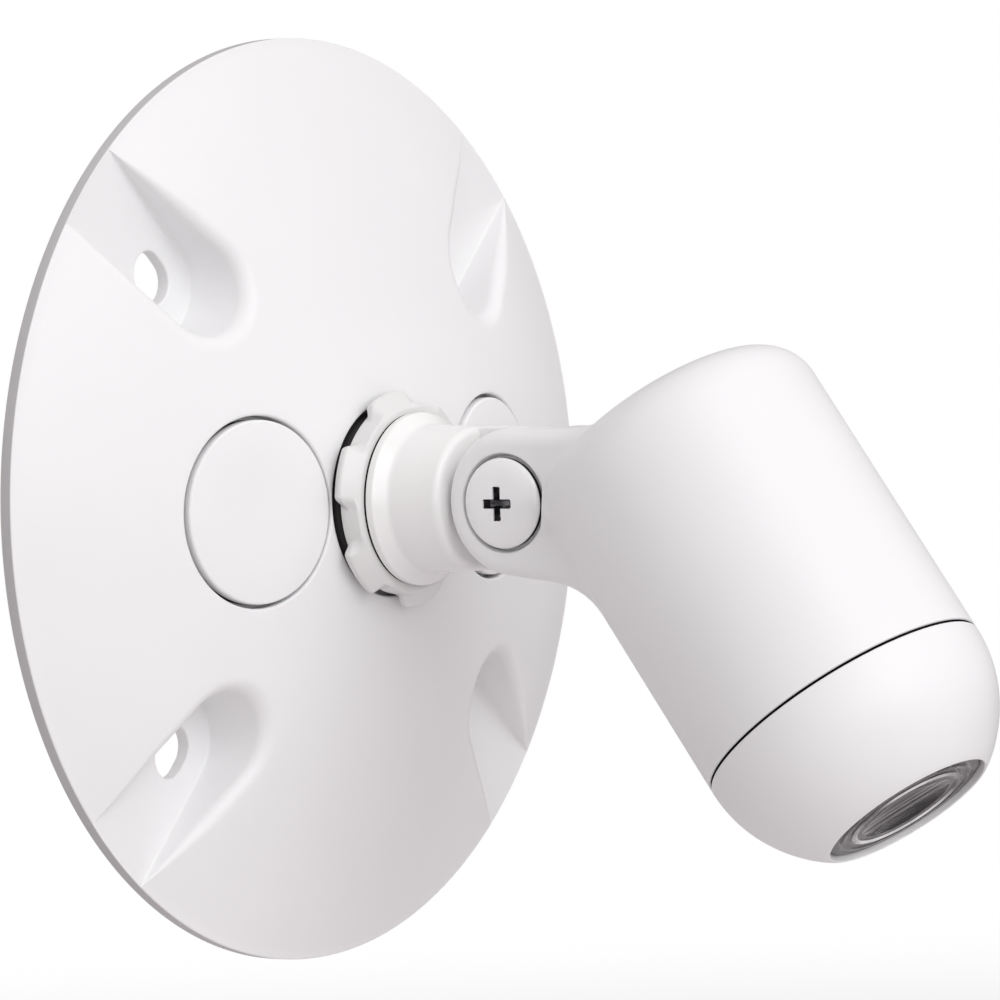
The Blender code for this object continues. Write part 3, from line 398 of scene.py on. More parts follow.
def makeMaterial(name, look):
    # A Principled material: two colours mixed by the mottle, roughness moved by it, and the
    # grain's height as bump. Everything that is the same all over sits on the shader itself.
    made = bpy.data.materials.new(name)
    made.use_nodes = True
    tree = made.node_tree
    shader = tree.nodes["Principled BSDF"]
    grain = tree.nodes.new("ShaderNodeGroup")
    grain.node_tree = grainGroup
    for label, key, usual in (("Peel size", "peel", 900.0), ("Grit size", "grit", 4000.0),
                              ("Peel share", "peel share", 0.7), ("Mottle size", "mottle", 25.0)):
        grain.inputs[label].default_value = look.get(key, usual)
    blend = tree.nodes.new("ShaderNodeMix")
    blend.data_type = "RGBA"
    blend.inputs["A"].default_value = (*look["colour"], 1.0)
    blend.inputs["B"].default_value = (*look.get("second", look["colour"]), 1.0)
    tree.links.new(grain.outputs["Mottle"], blend.inputs["Factor"])
    tree.links.new(blend.outputs["Result"], shader.inputs["Base Color"])
    rough = tree.nodes.new("ShaderNodeMapRange")
    rough.inputs["To Min"].default_value = look["rough"][0]
    rough.inputs["To Max"].default_value = look["rough"][1]
    tree.links.new(grain.outputs["Mottle"], rough.inputs["Value"])
    tree.links.new(rough.outputs["Result"], shader.inputs["Roughness"])
    bump = tree.nodes.new("ShaderNodeBump")
    bump.inputs["Strength"].default_value = look.get("bump", 0.2)
    bump.inputs["Distance"].default_value = look.get("bump depth", 0.05) * mm
    tree.links.new(grain.outputs["Height"], bump.inputs["Height"])
    tree.links.new(bump.outputs["Normal"], shader.inputs["Normal"])
    for label, value in look.get("shader", {}).items():
        shader.inputs[label].default_value = value
    return made


looks = {
    "powder white": {"colour": (0.83, 0.83, 0.835), "second": (0.86, 0.86, 0.865), "rough": (0.36, 0.44),
                     "peel": 700.0, "grit": 3500.0, "bump": 0.25, "bump depth": 0.03,
                     "shader": {"Specular IOR Level": 0.45}},
    "nylon white": {"colour": (0.84, 0.835, 0.83), "second": (0.87, 0.865, 0.86), "rough": (0.20, 0.28),
                    "peel": 500.0, "grit": 2500.0, "bump": 0.10, "bump depth": 0.03,
                    "shader": {"Coat Weight": 0.25, "Coat Roughness": 0.12}},
    "nut nylon": {"colour": (0.70, 0.695, 0.69), "second": (0.76, 0.755, 0.75), "rough": (0.24, 0.34),
                  "peel": 500.0, "grit": 2500.0, "bump": 0.12, "bump depth": 0.03,
                  "shader": {"Coat Weight": 0.15, "Coat Roughness": 0.15}},
    "painted screw": {"colour": (0.86, 0.86, 0.865), "second": (0.89, 0.89, 0.89), "rough": (0.12, 0.18),
                      "peel": 800.0, "bump": 0.08, "bump depth": 0.02,
                      "shader": {"Coat Weight": 0.6, "Coat Roughness": 0.06}},
    "rubber": {"colour": (0.010, 0.010, 0.010), "second": (0.022, 0.021, 0.020), "rough": (0.6, 0.8),
               "peel": 1200.0, "bump": 0.4, "bump depth": 0.04},
    "foam": {"colour": (0.018, 0.018, 0.019), "second": (0.045, 0.045, 0.045), "rough": (0.85, 0.98),
             "peel": 2600.0, "grit": 6000.0, "bump": 0.9, "bump depth": 0.15},
    "plated steel": {"colour": (0.60, 0.60, 0.58), "second": (0.70, 0.69, 0.64), "rough": (0.22, 0.38),
                     "peel": 600.0, "mottle": 180.0, "bump": 0.2, "bump depth": 0.02,
                     "shader": {"Metallic": 1.0}},
    # Bare steel for the screw's cross recess, made very dark as painted shade.
    "recess steel shade": {"colour": (0.05, 0.05, 0.055), "second": (0.32, 0.32, 0.33), "rough": (0.25, 0.45),
                     "peel": 900.0, "mottle": 600.0, "bump": 0.4, "bump depth": 0.05,
                     "shader": {"Metallic": 1.0}},
    "black nylon": {"colour": (0.016, 0.016, 0.017), "second": (0.026, 0.026, 0.027), "rough": (0.35, 0.48),
                    "bump": 0.2, "bump depth": 0.03},
    "natural nylon": {"colour": (0.80, 0.79, 0.73), "second": (0.84, 0.83, 0.77), "rough": (0.34, 0.44),
                      "bump": 0.15, "bump depth": 0.03},
    "silver": {"colour": (0.86, 0.86, 0.87), "second": (0.92, 0.92, 0.93), "rough": (0.06, 0.12),
               "peel": 400.0, "bump": 0.05, "bump depth": 0.02, "shader": {"Metallic": 1.0}},
    "phosphor": {"colour": (0.88, 0.72, 0.20), "second": (0.93, 0.80, 0.34), "rough": (0.25, 0.35),
                 "peel": 3000.0, "bump": 0.2, "bump depth": 0.02},
    "board white": {"colour": (0.80, 0.80, 0.78), "second": (0.86, 0.86, 0.84), "rough": (0.3, 0.42),
                    "bump": 0.15, "bump depth": 0.02},
    "thermal pad": {"colour": (0.40, 0.52, 0.60), "second": (0.46, 0.57, 0.64), "rough": (0.75, 0.9),
                    "peel": 1500.0, "bump": 0.5, "bump depth": 0.05},
    "aluminium": {"colour": (0.72, 0.73, 0.74), "second": (0.80, 0.81, 0.82), "rough": (0.30, 0.44),
                  "peel": 1500.0, "mottle": 120.0, "bump": 0.35, "bump depth": 0.03,
                  "shader": {"Metallic": 1.0}},
    "board green": {"colour": (0.012, 0.13, 0.055), "second": (0.02, 0.18, 0.08), "rough": (0.3, 0.4),
                    "peel": 1200.0, "bump": 0.2, "bump depth": 0.02,
                    "shader": {"Coat Weight": 0.4}},
    "ferrite": {"colour": (0.05, 0.05, 0.055), "second": (0.09, 0.085, 0.085), "rough": (0.5, 0.7),
                "peel": 2000.0, "bump": 0.4, "bump depth": 0.05},
    "capacitor sleeve": {"colour": (0.02, 0.03, 0.16), "second": (0.03, 0.04, 0.20), "rough": (0.22, 0.3),
                         "bump": 0.1, "bump depth": 0.02},
    "chip black": {"colour": (0.014, 0.014, 0.015), "second": (0.022, 0.022, 0.022), "rough": (0.45, 0.6),
                   "peel": 3000.0, "bump": 0.4, "bump depth": 0.03},
    "terminal green": {"colour": (0.02, 0.22, 0.07), "second": (0.03, 0.27, 0.09), "rough": (0.35, 0.45),
                       "bump": 0.15, "bump depth": 0.02},
    "lead red": {"colour": (0.50, 0.012, 0.012), "second": (0.58, 0.02, 0.018), "rough": (0.3, 0.4),
                 "bump": 0.15, "bump depth": 0.02},
    "lead black": {"colour": (0.012, 0.012, 0.012), "second": (0.02, 0.02, 0.02), "rough": (0.3, 0.42),
                   "bump": 0.15, "bump depth": 0.02},
    # Darker grey for the rim's side: painted shade.
    "plate edge shade": {"colour": (0.50, 0.49, 0.50), "second": (0.58, 0.57, 0.58), "rough": (0.45, 0.55),
                   "peel": 700.0, "grit": 3500.0, "bump": 0.25, "bump depth": 0.03},
    "gap shade": {"colour": (0.012, 0.012, 0.012), "second": (0.02, 0.02, 0.02), "rough": (0.8, 0.9),
                  "peel": 1500.0, "bump": 0.2, "bump depth": 0.02, "shader": {"Specular IOR Level": 0.1}},
    # Dark and bright patches for the lens's raised ring: a painted highlight that stands in for glints.
    "lens ring glint": {"colour": (0.10, 0.095, 0.10), "second": (0.94, 0.94, 0.94), "rough": (0.2, 0.35),
                  "peel": 700.0, "mottle": 110.0, "bump": 0.3, "bump depth": 0.05},
    # Clear window given a dark grey tint: painted shade that stands in for the shaded inside of the lamp.
    "lens clear shade tint": {"colour": (0.22, 0.205, 0.21), "second": (0.32, 0.305, 0.305), "rough": (0.0, 0.04),
                   "peel": 300.0, "mottle": 90.0, "bump": 0.02, "bump depth": 0.02,
                   "shader": {"Transmission Weight": 1.0, "IOR": 1.42, "Specular IOR Level": 0.14}},
}
finishes = {name: makeMaterial(name, look) for name, look in looks.items()}
print("materials made")


# Canopy plate
canopy = {
    "steps": 288,
    "rings": 52,
    "rim rounding": 0.25,
    "shell wall": 2.4,
    "land width": 8.0,
    "pocket half width": 6.7,
    "pocket end": 36.5,        # where the pocket's round end stops, from the middle
    "pocket wall": 2.0,
    "pocket top rounding": 2.0,
    "pocket top share": 0.34,  # most of the wall's height that the rounding may take
    "pocket foot rounding": 0.35,
    "slot at": 45.1,
    "slot length": 7.75,
    "slot width": 6.1,
    "slot rounding": 0.3,
    "recess depth": 3.35,
    "boss back": 6.2,
    "boss wall": 2.55,
    "recess radius": 12.95,
    "middle recess": 13.25,
    "lip rounding": 0.4,
    "bore radius": 10.95,
}


def domeHeight(radius, inset=0.0):
    # Out distance of the dome at a radius: centre + sqrt((R - inset)^2 - r^2).
    centre = place["dome top"] - place["dome radius"]
    return centre + np.sqrt((place["dome radius"] - inset) ** 2 - np.square(radius))


def pocketLine(halfWidth, straight=34, bend=48):
    # A pocket's U line: base points and outward normals, from the rim side round the inner
    # end and back. The round end is a half circle about the pocket's centre.
    centre = canopy["pocket end"] + canopy["pocket half width"]
    along = np.linspace(place["plate radius"] + 8, centre, straight, endpoint=False)
    angle = np.linspace(pi / 2, 3 * pi / 2, bend)
    upper = np.stack([along, np.full(straight, halfWidth)], axis=-1)
    end = np.stack([centre + halfWidth * np.cos(angle), halfWidth * np.sin(angle)], axis=-1)
    lower = (upper * (1, -1))[::-1]
    turning = np.stack([np.cos(angle), np.sin(angle)], axis=-1)
    normals = np.concatenate([np.tile((0.0, 1.0), (straight, 1)), turning,
                              np.tile((0.0, -1.0), (straight, 1))])
    return np.concatenate([upper, end, lower]), normals


def turnedBy(angle, toWorld=fromCanopy):
    # The canopy's frame after a turn about its axis.
    def turnedPlace(p):
        x = p[..., 0] * cos(angle) - p[..., 1] * sin(angle)
        y = p[..., 0] * sin(angle) + p[..., 1] * cos(angle)
        return toWorld(np.stack([x, y, p[..., 2]], axis=-1))
    return turnedPlace


def level(base, normals, offset, height):
    # One loop: base points moved along their normals, at a height per point.
    offset = np.broadcast_to(offset, base.shape[:1])
    plan = base + normals * offset[:, None]
    lift = height(plan, offset) if callable(height) else np.broadcast_to(height, base.shape[:1])
    return np.concatenate([plan, lift[:, None]], axis=-1)


def pocketTool(number):
    # The space of a pocket. Its floor turns up into the wall by a small arc, and the wall
    # rolls over into the dome by an arc of radius min(share * wall height, rounding).
    base, normals = pocketLine(canopy["pocket half width"])
    floor = place["rim front"]

    def top(plan):
        reach = np.minimum(np.hypot(plan[:, 0], plan[:, 1]), 120.0)
        return np.maximum(domeHeight(reach), floor + 0.06)

    rise = top(base) - floor
    roll = np.clip(canopy["pocket top share"] * rise, 0.02, canopy["pocket top rounding"])
    foot = np.clip(0.4 * rise, 0.02, canopy["pocket foot rounding"])
    loops = []
    for angle in np.linspace(0, pi / 2, 5):
        loops.append(level(base, normals, -foot * (1 - sin(angle)), floor + foot * (1 - cos(angle))))
    for angle in np.linspace(0, pi / 2, 12):
        loops.append(level(base, normals, roll * (1 - cos(angle)),
                           lambda plan, offset: top(plan) - roll * (1 - sin(angle))))
    loops.append(level(base, normals, roll + 0.6, lambda plan, offset: top(plan) + 0.07))
    loops.append(level(base, normals, roll + 0.6, 40.0))
    return stack("pocketTool", loops, turnedBy(pi / 4 + number * pi / 2))


def pocketWallTool(number):
    # Walls left standing behind a pocket, as a straight-sided prism.
    base, normals = pocketLine(canopy["pocket half width"] + canopy["pocket wall"])
    return stack("pocketWallTool", [level(base, normals, 0.0, height) for height in (-20.0, 40.0)],
                 turnedBy(pi / 4 + number * pi / 2))


def slotTool(number):
    # A slot with two round ends, its front edge rounded outwards by a quarter arc.
    half = canopy["slot width"] / 2
    angle = np.linspace(pi / 2, 3 * pi / 2, 20)
    ends = canopy["slot length"] / 2 - half
    normals = np.stack([np.cos(angle), np.sin(angle)], axis=-1)
    left = normals * half - (ends, 0)
    base = np.concatenate([left, -left]) + (canopy["slot at"], 0)
    normals = np.concatenate([normals, -normals])
    floor = place["rim front"]
    radius = canopy["slot rounding"]
    loops = [level(base, normals, 0.0, 0.0)]
    for step in np.linspace(0, pi / 2, 6):
        loops.append(level(base, normals, radius * (1 - cos(step)), floor - radius * (1 - sin(step))))
    loops.append(level(base, normals, radius + 0.1, floor + 0.05))
    loops.append(level(base, normals, radius + 0.1, floor + 1.5))
    return stack("slotTool", loops, turnedBy(pi / 4 + number * pi / 2))


def outletTool(side):
    # Recess and bore of an outlet, its lip rolled over into the dome.
    recess = canopy["middle recess"] if side == 0 else canopy["recess radius"]
    lip = canopy["lip rounding"]
    bore = canopy["bore radius"]
    depth = -canopy["recess depth"]
    surface = float(domeHeight(recess + lip)) - place["dome top"]
    arc = np.linspace(pi, pi / 2, 8)
    rolled = [(recess + lip + lip * cos(a), surface - lip + lip * sin(a), 0) for a in arc]
    outline = [(0, -30, 0), (bore, -30, 0), (bore, depth - 0.3, 0), (bore + 0.3, depth, 0),
               (recess, depth, 0.25)]
    outline += rolled + [(recess + 2 * lip, surface + 0.02, 0), (recess + 2 * lip, 6, 0), (0, 6, 0)]
    return lathe("outletTool", outline, outletFrame(side), 144, 4)


def bossTool(side):
    recess = canopy["middle recess"] if side == 0 else canopy["recess radius"]
    radius = recess + canopy["boss wall"]
    outline = [(0, -canopy["boss back"], 0), (radius, -canopy["boss back"], 0.4), (radius, 20, 0), (0, 20, 0)]
    return lathe("bossTool", outline, outletFrame(side), 120, 4)


def makeCanopyPlate():
    # The dome turned about the wall's normal, hollowed from behind and cut from the front.
    rim = place["plate radius"]
    edge = canopy["rim rounding"]
    radii = np.linspace(0, rim - edge, canopy["rings"])
    top = float(domeHeight(rim - edge))
    arc = np.linspace(pi / 2, 0, 5)[1:]
    front = np.stack([radii, domeHeight(radii)], axis=-1)
    side = np.stack([rim - edge + edge * np.cos(arc), top - edge + edge * np.sin(arc)], axis=-1)
    rear = place["plate back"]
    back = np.array([(rim, rear + 0.2), (rim - 0.2, rear), (0, rear)])
    plate = skin("canopy_plate", ringed(np.concatenate([front, side, back]), canopy["steps"]), fromCanopy)
    inner = rim - canopy["land width"]
    radii = np.linspace(inner, 0, 30)
    hollow = np.concatenate([np.array([(0, -20), (inner, -20)]),
                             np.stack([radii, domeHeight(radii, canopy["shell wall"])], axis=-1)])
    hollow = skin("hollowTool", ringed(hollow, 180), fromCanopy)
    carve(hollow, "DIFFERENCE", *[pocketWallTool(n) for n in range(4)], *[bossTool(s) for s in (-1, 1, 0)])
    cuts = [pocketTool(n) for n in range(4)] + [slotTool(n) for n in range(4)]
    cuts += [outletTool(s) for s in (-1, 1, 0)]
    return carve(plate, "DIFFERENCE", hollow, *cuts, sharpAngle=38.0)


platePiece = settle(makeCanopyPlate(), "canopy", "canopy_white", finishes["powder white"], "canopy_plate")
# The rim's side gets painted shade: a darker grey that stands in for the shade that side lies in.
shade(platePiece, finishes["plate edge shade"], canopyOf,
      lambda p: (radial(p) > place["plate radius"] - 0.1) & (p[:, 2] < place["rim front"] - 0.2))
print("canopy plate made")

# Foam gasket behind the plate
gasket = {"outer": 60.4, "inner": 54.9, "thickness": 1.5, "rounding": 0.3}
settle(lathe("wall_gasket", [(gasket["inner"], 0.75, 0), (gasket["inner"], 0, gasket["rounding"]),
                             (gasket["outer"], 0, gasket["rounding"]),
                             (gasket["outer"], gasket["thickness"], gasket["rounding"]),
                             (gasket["inner"], gasket["thickness"], gasket["rounding"])],
             fromCanopy, 180, 3, True), "canopy", "foam_black", finishes["foam"], "wall_gasket")

# Closure plugs and their seals
plug = {
    "radius": 12.4,
    "top": -0.25,
    "thickness": 1.7,
    "edge": 0.35,
    "leg radius": 10.5,
    "leg wall": 1.4,
    "hook": -6.5,
    "barb": 0.95,
    "tip": -8.85,
    "slit": 2.4,
    "crown": 0.06,             # the face rises with the dome
}


def makePlug(name, side):
    # A disc turned about the outlet's axis, with a skirt slit into four barbed legs.
    under = plug["top"] - plug["thickness"]
    leg = plug["leg radius"]
    inner = leg - plug["leg wall"]
    outline = [(0, plug["top"] + plug["crown"], 0), (7, plug["top"] + plug["crown"], 3),
               (plug["radius"], plug["top"], plug["edge"]), (plug["radius"], under, 0.15), (leg, under, 0.1),
               (leg, plug["hook"], 0.08), (leg + plug["barb"], plug["hook"], 0.12),
               (leg + plug["barb"], plug["hook"] - 0.5, 0.15), (leg, plug["tip"], 0.2),
               (inner, plug["tip"], 0.2), (inner, under, 0.4), (0, under, 0)]
    made = lathe(name, outline, outletFrame(side), 120, 4)
    slits = []
    for across in (0, 1):
        corners = np.array([(-20, -plug["slit"] / 2), (20, -plug["slit"] / 2), (20, plug["slit"] / 2),
                            (-20, plug["slit"] / 2)])
        corners = corners[:, ::-1] * (1, -1) if across else corners
        loops = [np.concatenate([corners, np.full((4, 1), height)], axis=-1)
                 for height in (plug["tip"] - 2, under - 0.3)]
        slits.append(stack("slitTool", loops, outletFrame(side)))
    return carve(made, "DIFFERENCE", *slits)


def makeWasher(name, size, toWorld, rounding=0.15, steps=120):
    # A flat ring with softened edges.
    inner, outer, low, high = (size[key] for key in ("inner", "outer", "low", "high"))
    middle = (low + high) / 2
    return lathe(name, [(inner, middle, 0), (inner, low, rounding), (outer, low, rounding),
                        (outer, high, rounding), (inner, high, rounding)], toWorld, steps, 3, True)


plugSeal = {"inner": 10.8, "outer": 12.4, "low": -3.05, "high": -2.25}
for plugSide, plugName in ((-1, "left"), (1, "right")):
    settle(makePlug("plug_" + plugName, plugSide), "canopy", "canopy_white", finishes["powder white"],
           "plug_" + plugName)
    settle(makeWasher("plug_seal_" + plugName, plugSeal, outletFrame(plugSide)), "canopy", "rubber_black",
           finishes["rubber"], "plug_seal_" + plugName)
outletSeal = {"inner": 10.95, "outer": 12.55, "low": 16.05, "high": 18.8}
settle(makeWasher("outlet_seal", outletSeal, fromCanopy, 0.5), "canopy", "rubber_black",
       finishes["rubber"], "outlet_seal")
print("plugs and seals made")

# Locknuts on the thread
locknut = {
    "bore": 10.95,
    "body": 13.05,
    "lug": 15.0,
    "under flange": 11.7,      # the face inside this radius lies in the flange's shadow
    "lugs": 6,
    "first lug": 42.0,         # degrees
    "lug angle": 34.0,
    "edge angle": 8.0,         # over which a lug's side falls away
    "low": 19.4,
    "high": 22.45,
    "steps": 540,
}


def lugShare(angle, first, width, edge):
    # 1 on a lug and 0 between lugs, with a smooth step down each lug's side.
    pitch = turn / locknut["lugs"]
    away = np.abs((angle - first + pitch / 2) % pitch - pitch / 2)
    share = np.clip((width / 2 + edge / 2 - away) / edge, 0, 1)
    return share * share * (3 - 2 * share)


def makeLocknut(name, bodyOutline, lugOutline, toWorld, first, width):
    # Two outlines with the same corners, blended round the axis by the lug's share.
    angle = np.linspace(0, turn, locknut["steps"], endpoint=False)
    share = lugShare(angle, radians(first), radians(width), radians(locknut["edge angle"]))
    body = softened(bodyOutline, 4)
    lug = softened(lugOutline, 4)
    mixed = body[:, None, :] + share[None, :, None] * (lug - body)[:, None, :]
    grid = np.stack([mixed[..., 0] * np.cos(angle), mixed[..., 0] * np.sin(angle), mixed[..., 1]], axis=-1)
    return skin(name, grid, toWorld, True, 50.0)


def frontLocknut():
    low, high, bore, body, lug = (locknut[key] for key in ("low", "high", "bore", "body", "lug"))
    plain = [(bore, (low + high) / 2, 0), (bore, low, 0.2), (body - 0.6, low, 0.2), (body, low, 0.2),
             (body, low + 0.8, 0.2), (body, low + 1.4, 0.2), (body, high, 0.45), (body - 0.6, high, 0.2),
             (locknut["under flange"], high, 0), (bore, high, 0.3)]
    lugged = [(bore, (low + high) / 2, 0), (bore, low, 0.2), (body, low, 0.2), (body + 0.2, low + 0.35, 0.2),
              (lug - 0.5, low + 0.1, 0.35), (lug, low + 1.3, 0.55), (body + 0.2, high - 0.5, 0.6),
              (body - 0.6, high, 0.3), (locknut["under flange"], high, 0), (bore, high, 0.3)]
    return makeLocknut("front_locknut", plain, lugged, fromCanopy, locknut["first lug"], locknut["lug angle"])


rearNut = {
    "body": 12.3,
    "lug": 13.2,
    "height": 4.5,
    "high": 11.3,
}


def rearLocknut():
    bore, body, lug = locknut["bore"], rearNut["body"], rearNut["lug"]
    high = rearNut["high"]
    low = high - rearNut["height"]
    middle = (low + high) / 2
    plain = [(bore, middle, 0), (bore, low, 0.3), (body, low, 0.3), (body, high - 2.4, 0.2),
             (body, high - 2.2, 0.2), (body, high, 0.3), (bore, high, 0.2)]
    lugged = [(bore, middle, 0), (bore, low, 0.3), (body, low, 0.3), (body, high - 2.3, 0.2),
              (lug, high - 2.1, 0.3), (lug, high, 0.3), (bore, high, 0.2)]
    return makeLocknut("rear_locknut", plain, lugged, fromCanopy, locknut["first lug"], locknut["lug angle"])


nutPiece = settle(frontLocknut(), "locknut", "stem_white", finishes["nut nylon"], "front_locknut")
shade(nutPiece, finishes["gap shade"], canopyOf,
      lambda p: (p[:, 2] > locknut["high"] - 0.02) & (radial(p) < locknut["under flange"]))
settle(rearLocknut(), "stem", "stem_white", finishes["nylon white"], "rear_locknut")
washer = {"inner": 10.95, "outer": 13.2, "low": 11.6, "high": 12.6}
settle(makeWasher("rear_washer", washer, fromCanopy), "stem", "plated_steel", finishes["plated steel"],
       "rear_washer")

# Bushing that lines the nipple's rear end
bushing = {"bore": 6.0, "barrel": 7.2, "flange": 10.35, "rear": 2.3, "step": 3.5, "front": 8.5}


def makeBushing():
    bore, rear, step, front = (bushing[key] for key in ("bore", "rear", "step", "front"))
    outline = [(bore, (rear + front) / 2, 0), (bore, rear, 0.5), (bushing["flange"], rear, 0.4),
               (bushing["flange"], step, 0.2), (bushing["barrel"], step, 0.1),
               (bushing["barrel"], front, 0.3), (bore, front, 0.3)]
    return lathe("wire_bushing", outline, fromCanopy, 96, 4, True)


settle(makeBushing(), "stem", "bushing_black", finishes["black nylon"], "wire_bushing")
print("nuts and washer made")

# Stem: thread, flange, hub and tongue
stem = {
    "rear end": 3.8,
    "nipple radius": 10.65,
    "thread pitch": 1.814,
    "thread depth": 0.62,
    "flange back": 22.75,
    "flange radius": 11.8,
    "flange thickness": 1.05,
    "flange edge": 0.38,
    "shoulder": 1.6,
    "root radius": 10.1,
    "hub radius": 9.8,
    "hub face": 33.3,
    "hub edge": 1.1,
    "bore radius": 7.5,
    "bore end": 28.8,
    "tongue flat": 0.6,        # from the middle plane to the tongue's near face
    "tongue edge": 0.45,
    "hole radius": 2.8,
    "nut pocket": 4.97,        # hexagon's corner radius
    "pocket floor": -4.0,
    "thread end": 19.4,
    "gate across": (-2.6, 0.3),
    "gate half": 5.0,
    "gate along": (24.3, 36.3),
}


def threadDepth(angle, height):
    # Depth of the 60 degree thread: a triangle wave of height / pitch - angle / turn, cut
    # flat at crest and root, and faded out at both ends of the nipple.
    phase = (height / stem["thread pitch"] - angle / turn) % 1.0
    wave = np.clip(1.25 * (1 - np.abs(2 * phase - 1)) - 0.12, 0, 1)
    fade = np.clip((height - stem["rear end"] - 0.2) / 0.6, 0, 1)
    fade = fade * np.clip(stem["thread end"] - 0.4 - height, 0, 1)
    return stem["thread depth"] * wave * fade


def makeStemBody():
    rear, radius, back = stem["rear end"], stem["nipple radius"], stem["flange back"]
    front = back + stem["flange thickness"]
    bore, floor = stem["bore radius"], stem["bore end"]
    inside = softened([(0, floor, 0), (bore, floor, 0.5), (bore, rear, 0.3), (radius, rear, 0.4),
                       (radius, rear + 0.5, 0)], 3)[:-1]
    heights = np.arange(rear + 0.5, stem["thread end"], 0.15)
    thread = np.stack([np.full(len(heights), radius), heights], axis=-1)
    hub = softened([(radius, 20.0, 0), (radius, back, 0.1), (stem["flange radius"], back, 0.15),
                    (stem["flange radius"], front, stem["flange edge"]),
                    (stem["root radius"], front + stem["shoulder"], 1.2),
                    (stem["hub radius"], stem["hub face"], stem["hub edge"]), (0, stem["hub face"], 0)], 8)
    grid = ringed(np.concatenate([inside, thread, hub]), 144)
    angle = np.linspace(0, turn, 144, endpoint=False)
    rows = slice(len(inside), len(inside) + len(heights))
    cut = (radius - threadDepth(angle[None, :], heights[:, None])) / radius
    grid[rows, :, :2] *= cut[..., None]
    return skin("stem", grid, fromCanopy)


def tongueLoop(depth, inset):
    # The tongue's outline at a depth behind the middle plane, in the knuckle's axes. Its
    # edges run at the round bar's half height, then follow the end's arc about the pivot.
    radius = stem["hub radius"] - inset
    half = sqrt(max(radius * radius - depth * depth, 1e-6))
    root = stem["hub face"] - 2.5 - place["pivot out"]
    start = asin(min(half / radius, 1.0))
    arc = np.linspace(-start, start, 72)
    meet = radius * cos(start)
    straight = np.linspace(root, meet, 24, endpoint=False)
    lower = np.stack([straight, np.full(24, -half)], axis=-1)
    end = np.stack([radius * np.cos(arc), radius * np.sin(arc)], axis=-1)
    upper = np.stack([straight[::-1], np.full(24, half)], axis=-1)
    plan = np.concatenate([lower, end, upper])
    return np.concatenate([plan, np.full((len(plan), 1), -depth)], axis=-1)


def makeStem():
    body = makeStemBody()
    flat, edge, radius = stem["tongue flat"], stem["tongue edge"], stem["hub radius"]
    loops = [tongueLoop(flat + edge * (1 - sin(a)), edge * (1 - cos(a))) for a in np.linspace(pi / 2, 0, 6)]
    angles = np.linspace(asin((flat + edge) / radius), 0.492 * pi, 34)[1:]
    loops += [tongueLoop(radius * sin(a), 0.0) for a in angles]
    tongue = stack("tongueTool", loops, fromKnuckle)
    carve(body, "UNION", tongue)
    small = stem["hole radius"]
    hole = lathe("holeTool", [(0, -12, 0), (small, -12, 0), (small, -flat - 0.25, 0),
                              (small + 0.35, -flat + 0.1, 0), (small + 0.35, 12, 0), (0, 12, 0)],
                 fromKnuckle, 72)
    angle = np.linspace(0, turn, 6, endpoint=False)
    hexagon = stem["nut pocket"] * np.stack([np.cos(angle), np.sin(angle)], axis=-1)
    loops = [np.concatenate([hexagon, np.full((6, 1), z)], axis=-1) for z in (-20.0, stem["pocket floor"])]
    pocket = stack("pocketTool", loops, fromKnuckle)
    (left, right), half = stem["gate across"], stem["gate half"]
    gate = [(left, -half), (right, -half), (right, half), (left, half)]
    loops = [np.array([(x, y, z) for x, y in gate]) for z in stem["gate along"]]
    gate = stack("gateTool", loops, fromCanopy)
    return carve(body, "DIFFERENCE", hole, pocket, gate)


settle(makeStem(), "stem", "stem_white", finishes["nylon white"], "stem")
print("stem made")

# Knuckle hardware
knuckle = {
    "arm far face": 2.9,
    "arm near face": 8.9,
    "seat": 8.3,
    "head radius": 6.1,
    "shank radius": 2.5,
    "head rim": 0.7,
    "head height": 2.3,
    "cross length": 4.6,
    "cross width": 1.25,
    "cross depth": 1.7,
    "hex": 8.0,
    "hex near": -4.3,
    "hex far": -8.3,
    "nut bore": 2.55,
}
spacer = {"inner": 2.8, "outer": 6.5, "low": -0.3, "high": 2.6}
settle(makeWasher("knuckle_spacer", spacer, fromKnuckle, 0.3, 96), "stem", "spacer_nylon",
       finishes["natural nylon"], "knuckle_spacer")


def makeHexNut():
    # Radius at each angle is the smaller of the hexagon's edge and a chamfer cone that opens
    # from each face at 30 degrees.
    angle = np.linspace(0, turn, 144, endpoint=False)
    edge = (knuckle["hex"] / 2) / np.cos((angle % (pi / 3)) - pi / 6)
    heights = np.linspace(knuckle["hex far"], knuckle["hex near"], 26)
    away = np.minimum(heights - heights[0], heights[-1] - heights)[:, None]
    wall = np.minimum(edge[None, :], knuckle["hex"] / 2 * 0.97 + away * sqrt(3))
    bore = np.full((1, len(angle)), knuckle["nut bore"])
    mouth = bore + 0.3
    radius = np.concatenate([bore, mouth, wall, mouth, bore])
    height = np.concatenate([[heights[0] + 0.3, heights[0]], heights, [heights[-1], heights[-1] - 0.3]])
    lift = np.repeat(height[:, None], len(angle), axis=1)
    grid = np.stack([radius * np.cos(angle), radius * np.sin(angle), lift], axis=-1)
    return skin("pivot_nut", grid, fromKnuckle, True, 28.0)


def crossLoop(length, width, height, corner=0.2):
    # A plus shape with softened ends, as one ring of points.
    arm, half = length / 2, width / 2
    ring = np.array([(half, half), (arm - corner, half), (arm, half - corner), (arm, corner - half),
                     (arm - corner, -half)])
    quarter = [ring @ np.array([(cos(q), sin(q)), (-sin(q), cos(q))]) for q in (0, -pi / 2, -pi, -3 * pi / 2)]
    plan = np.concatenate(quarter)
    return np.concatenate([plan, np.full((len(plan), 1), height)], axis=-1)


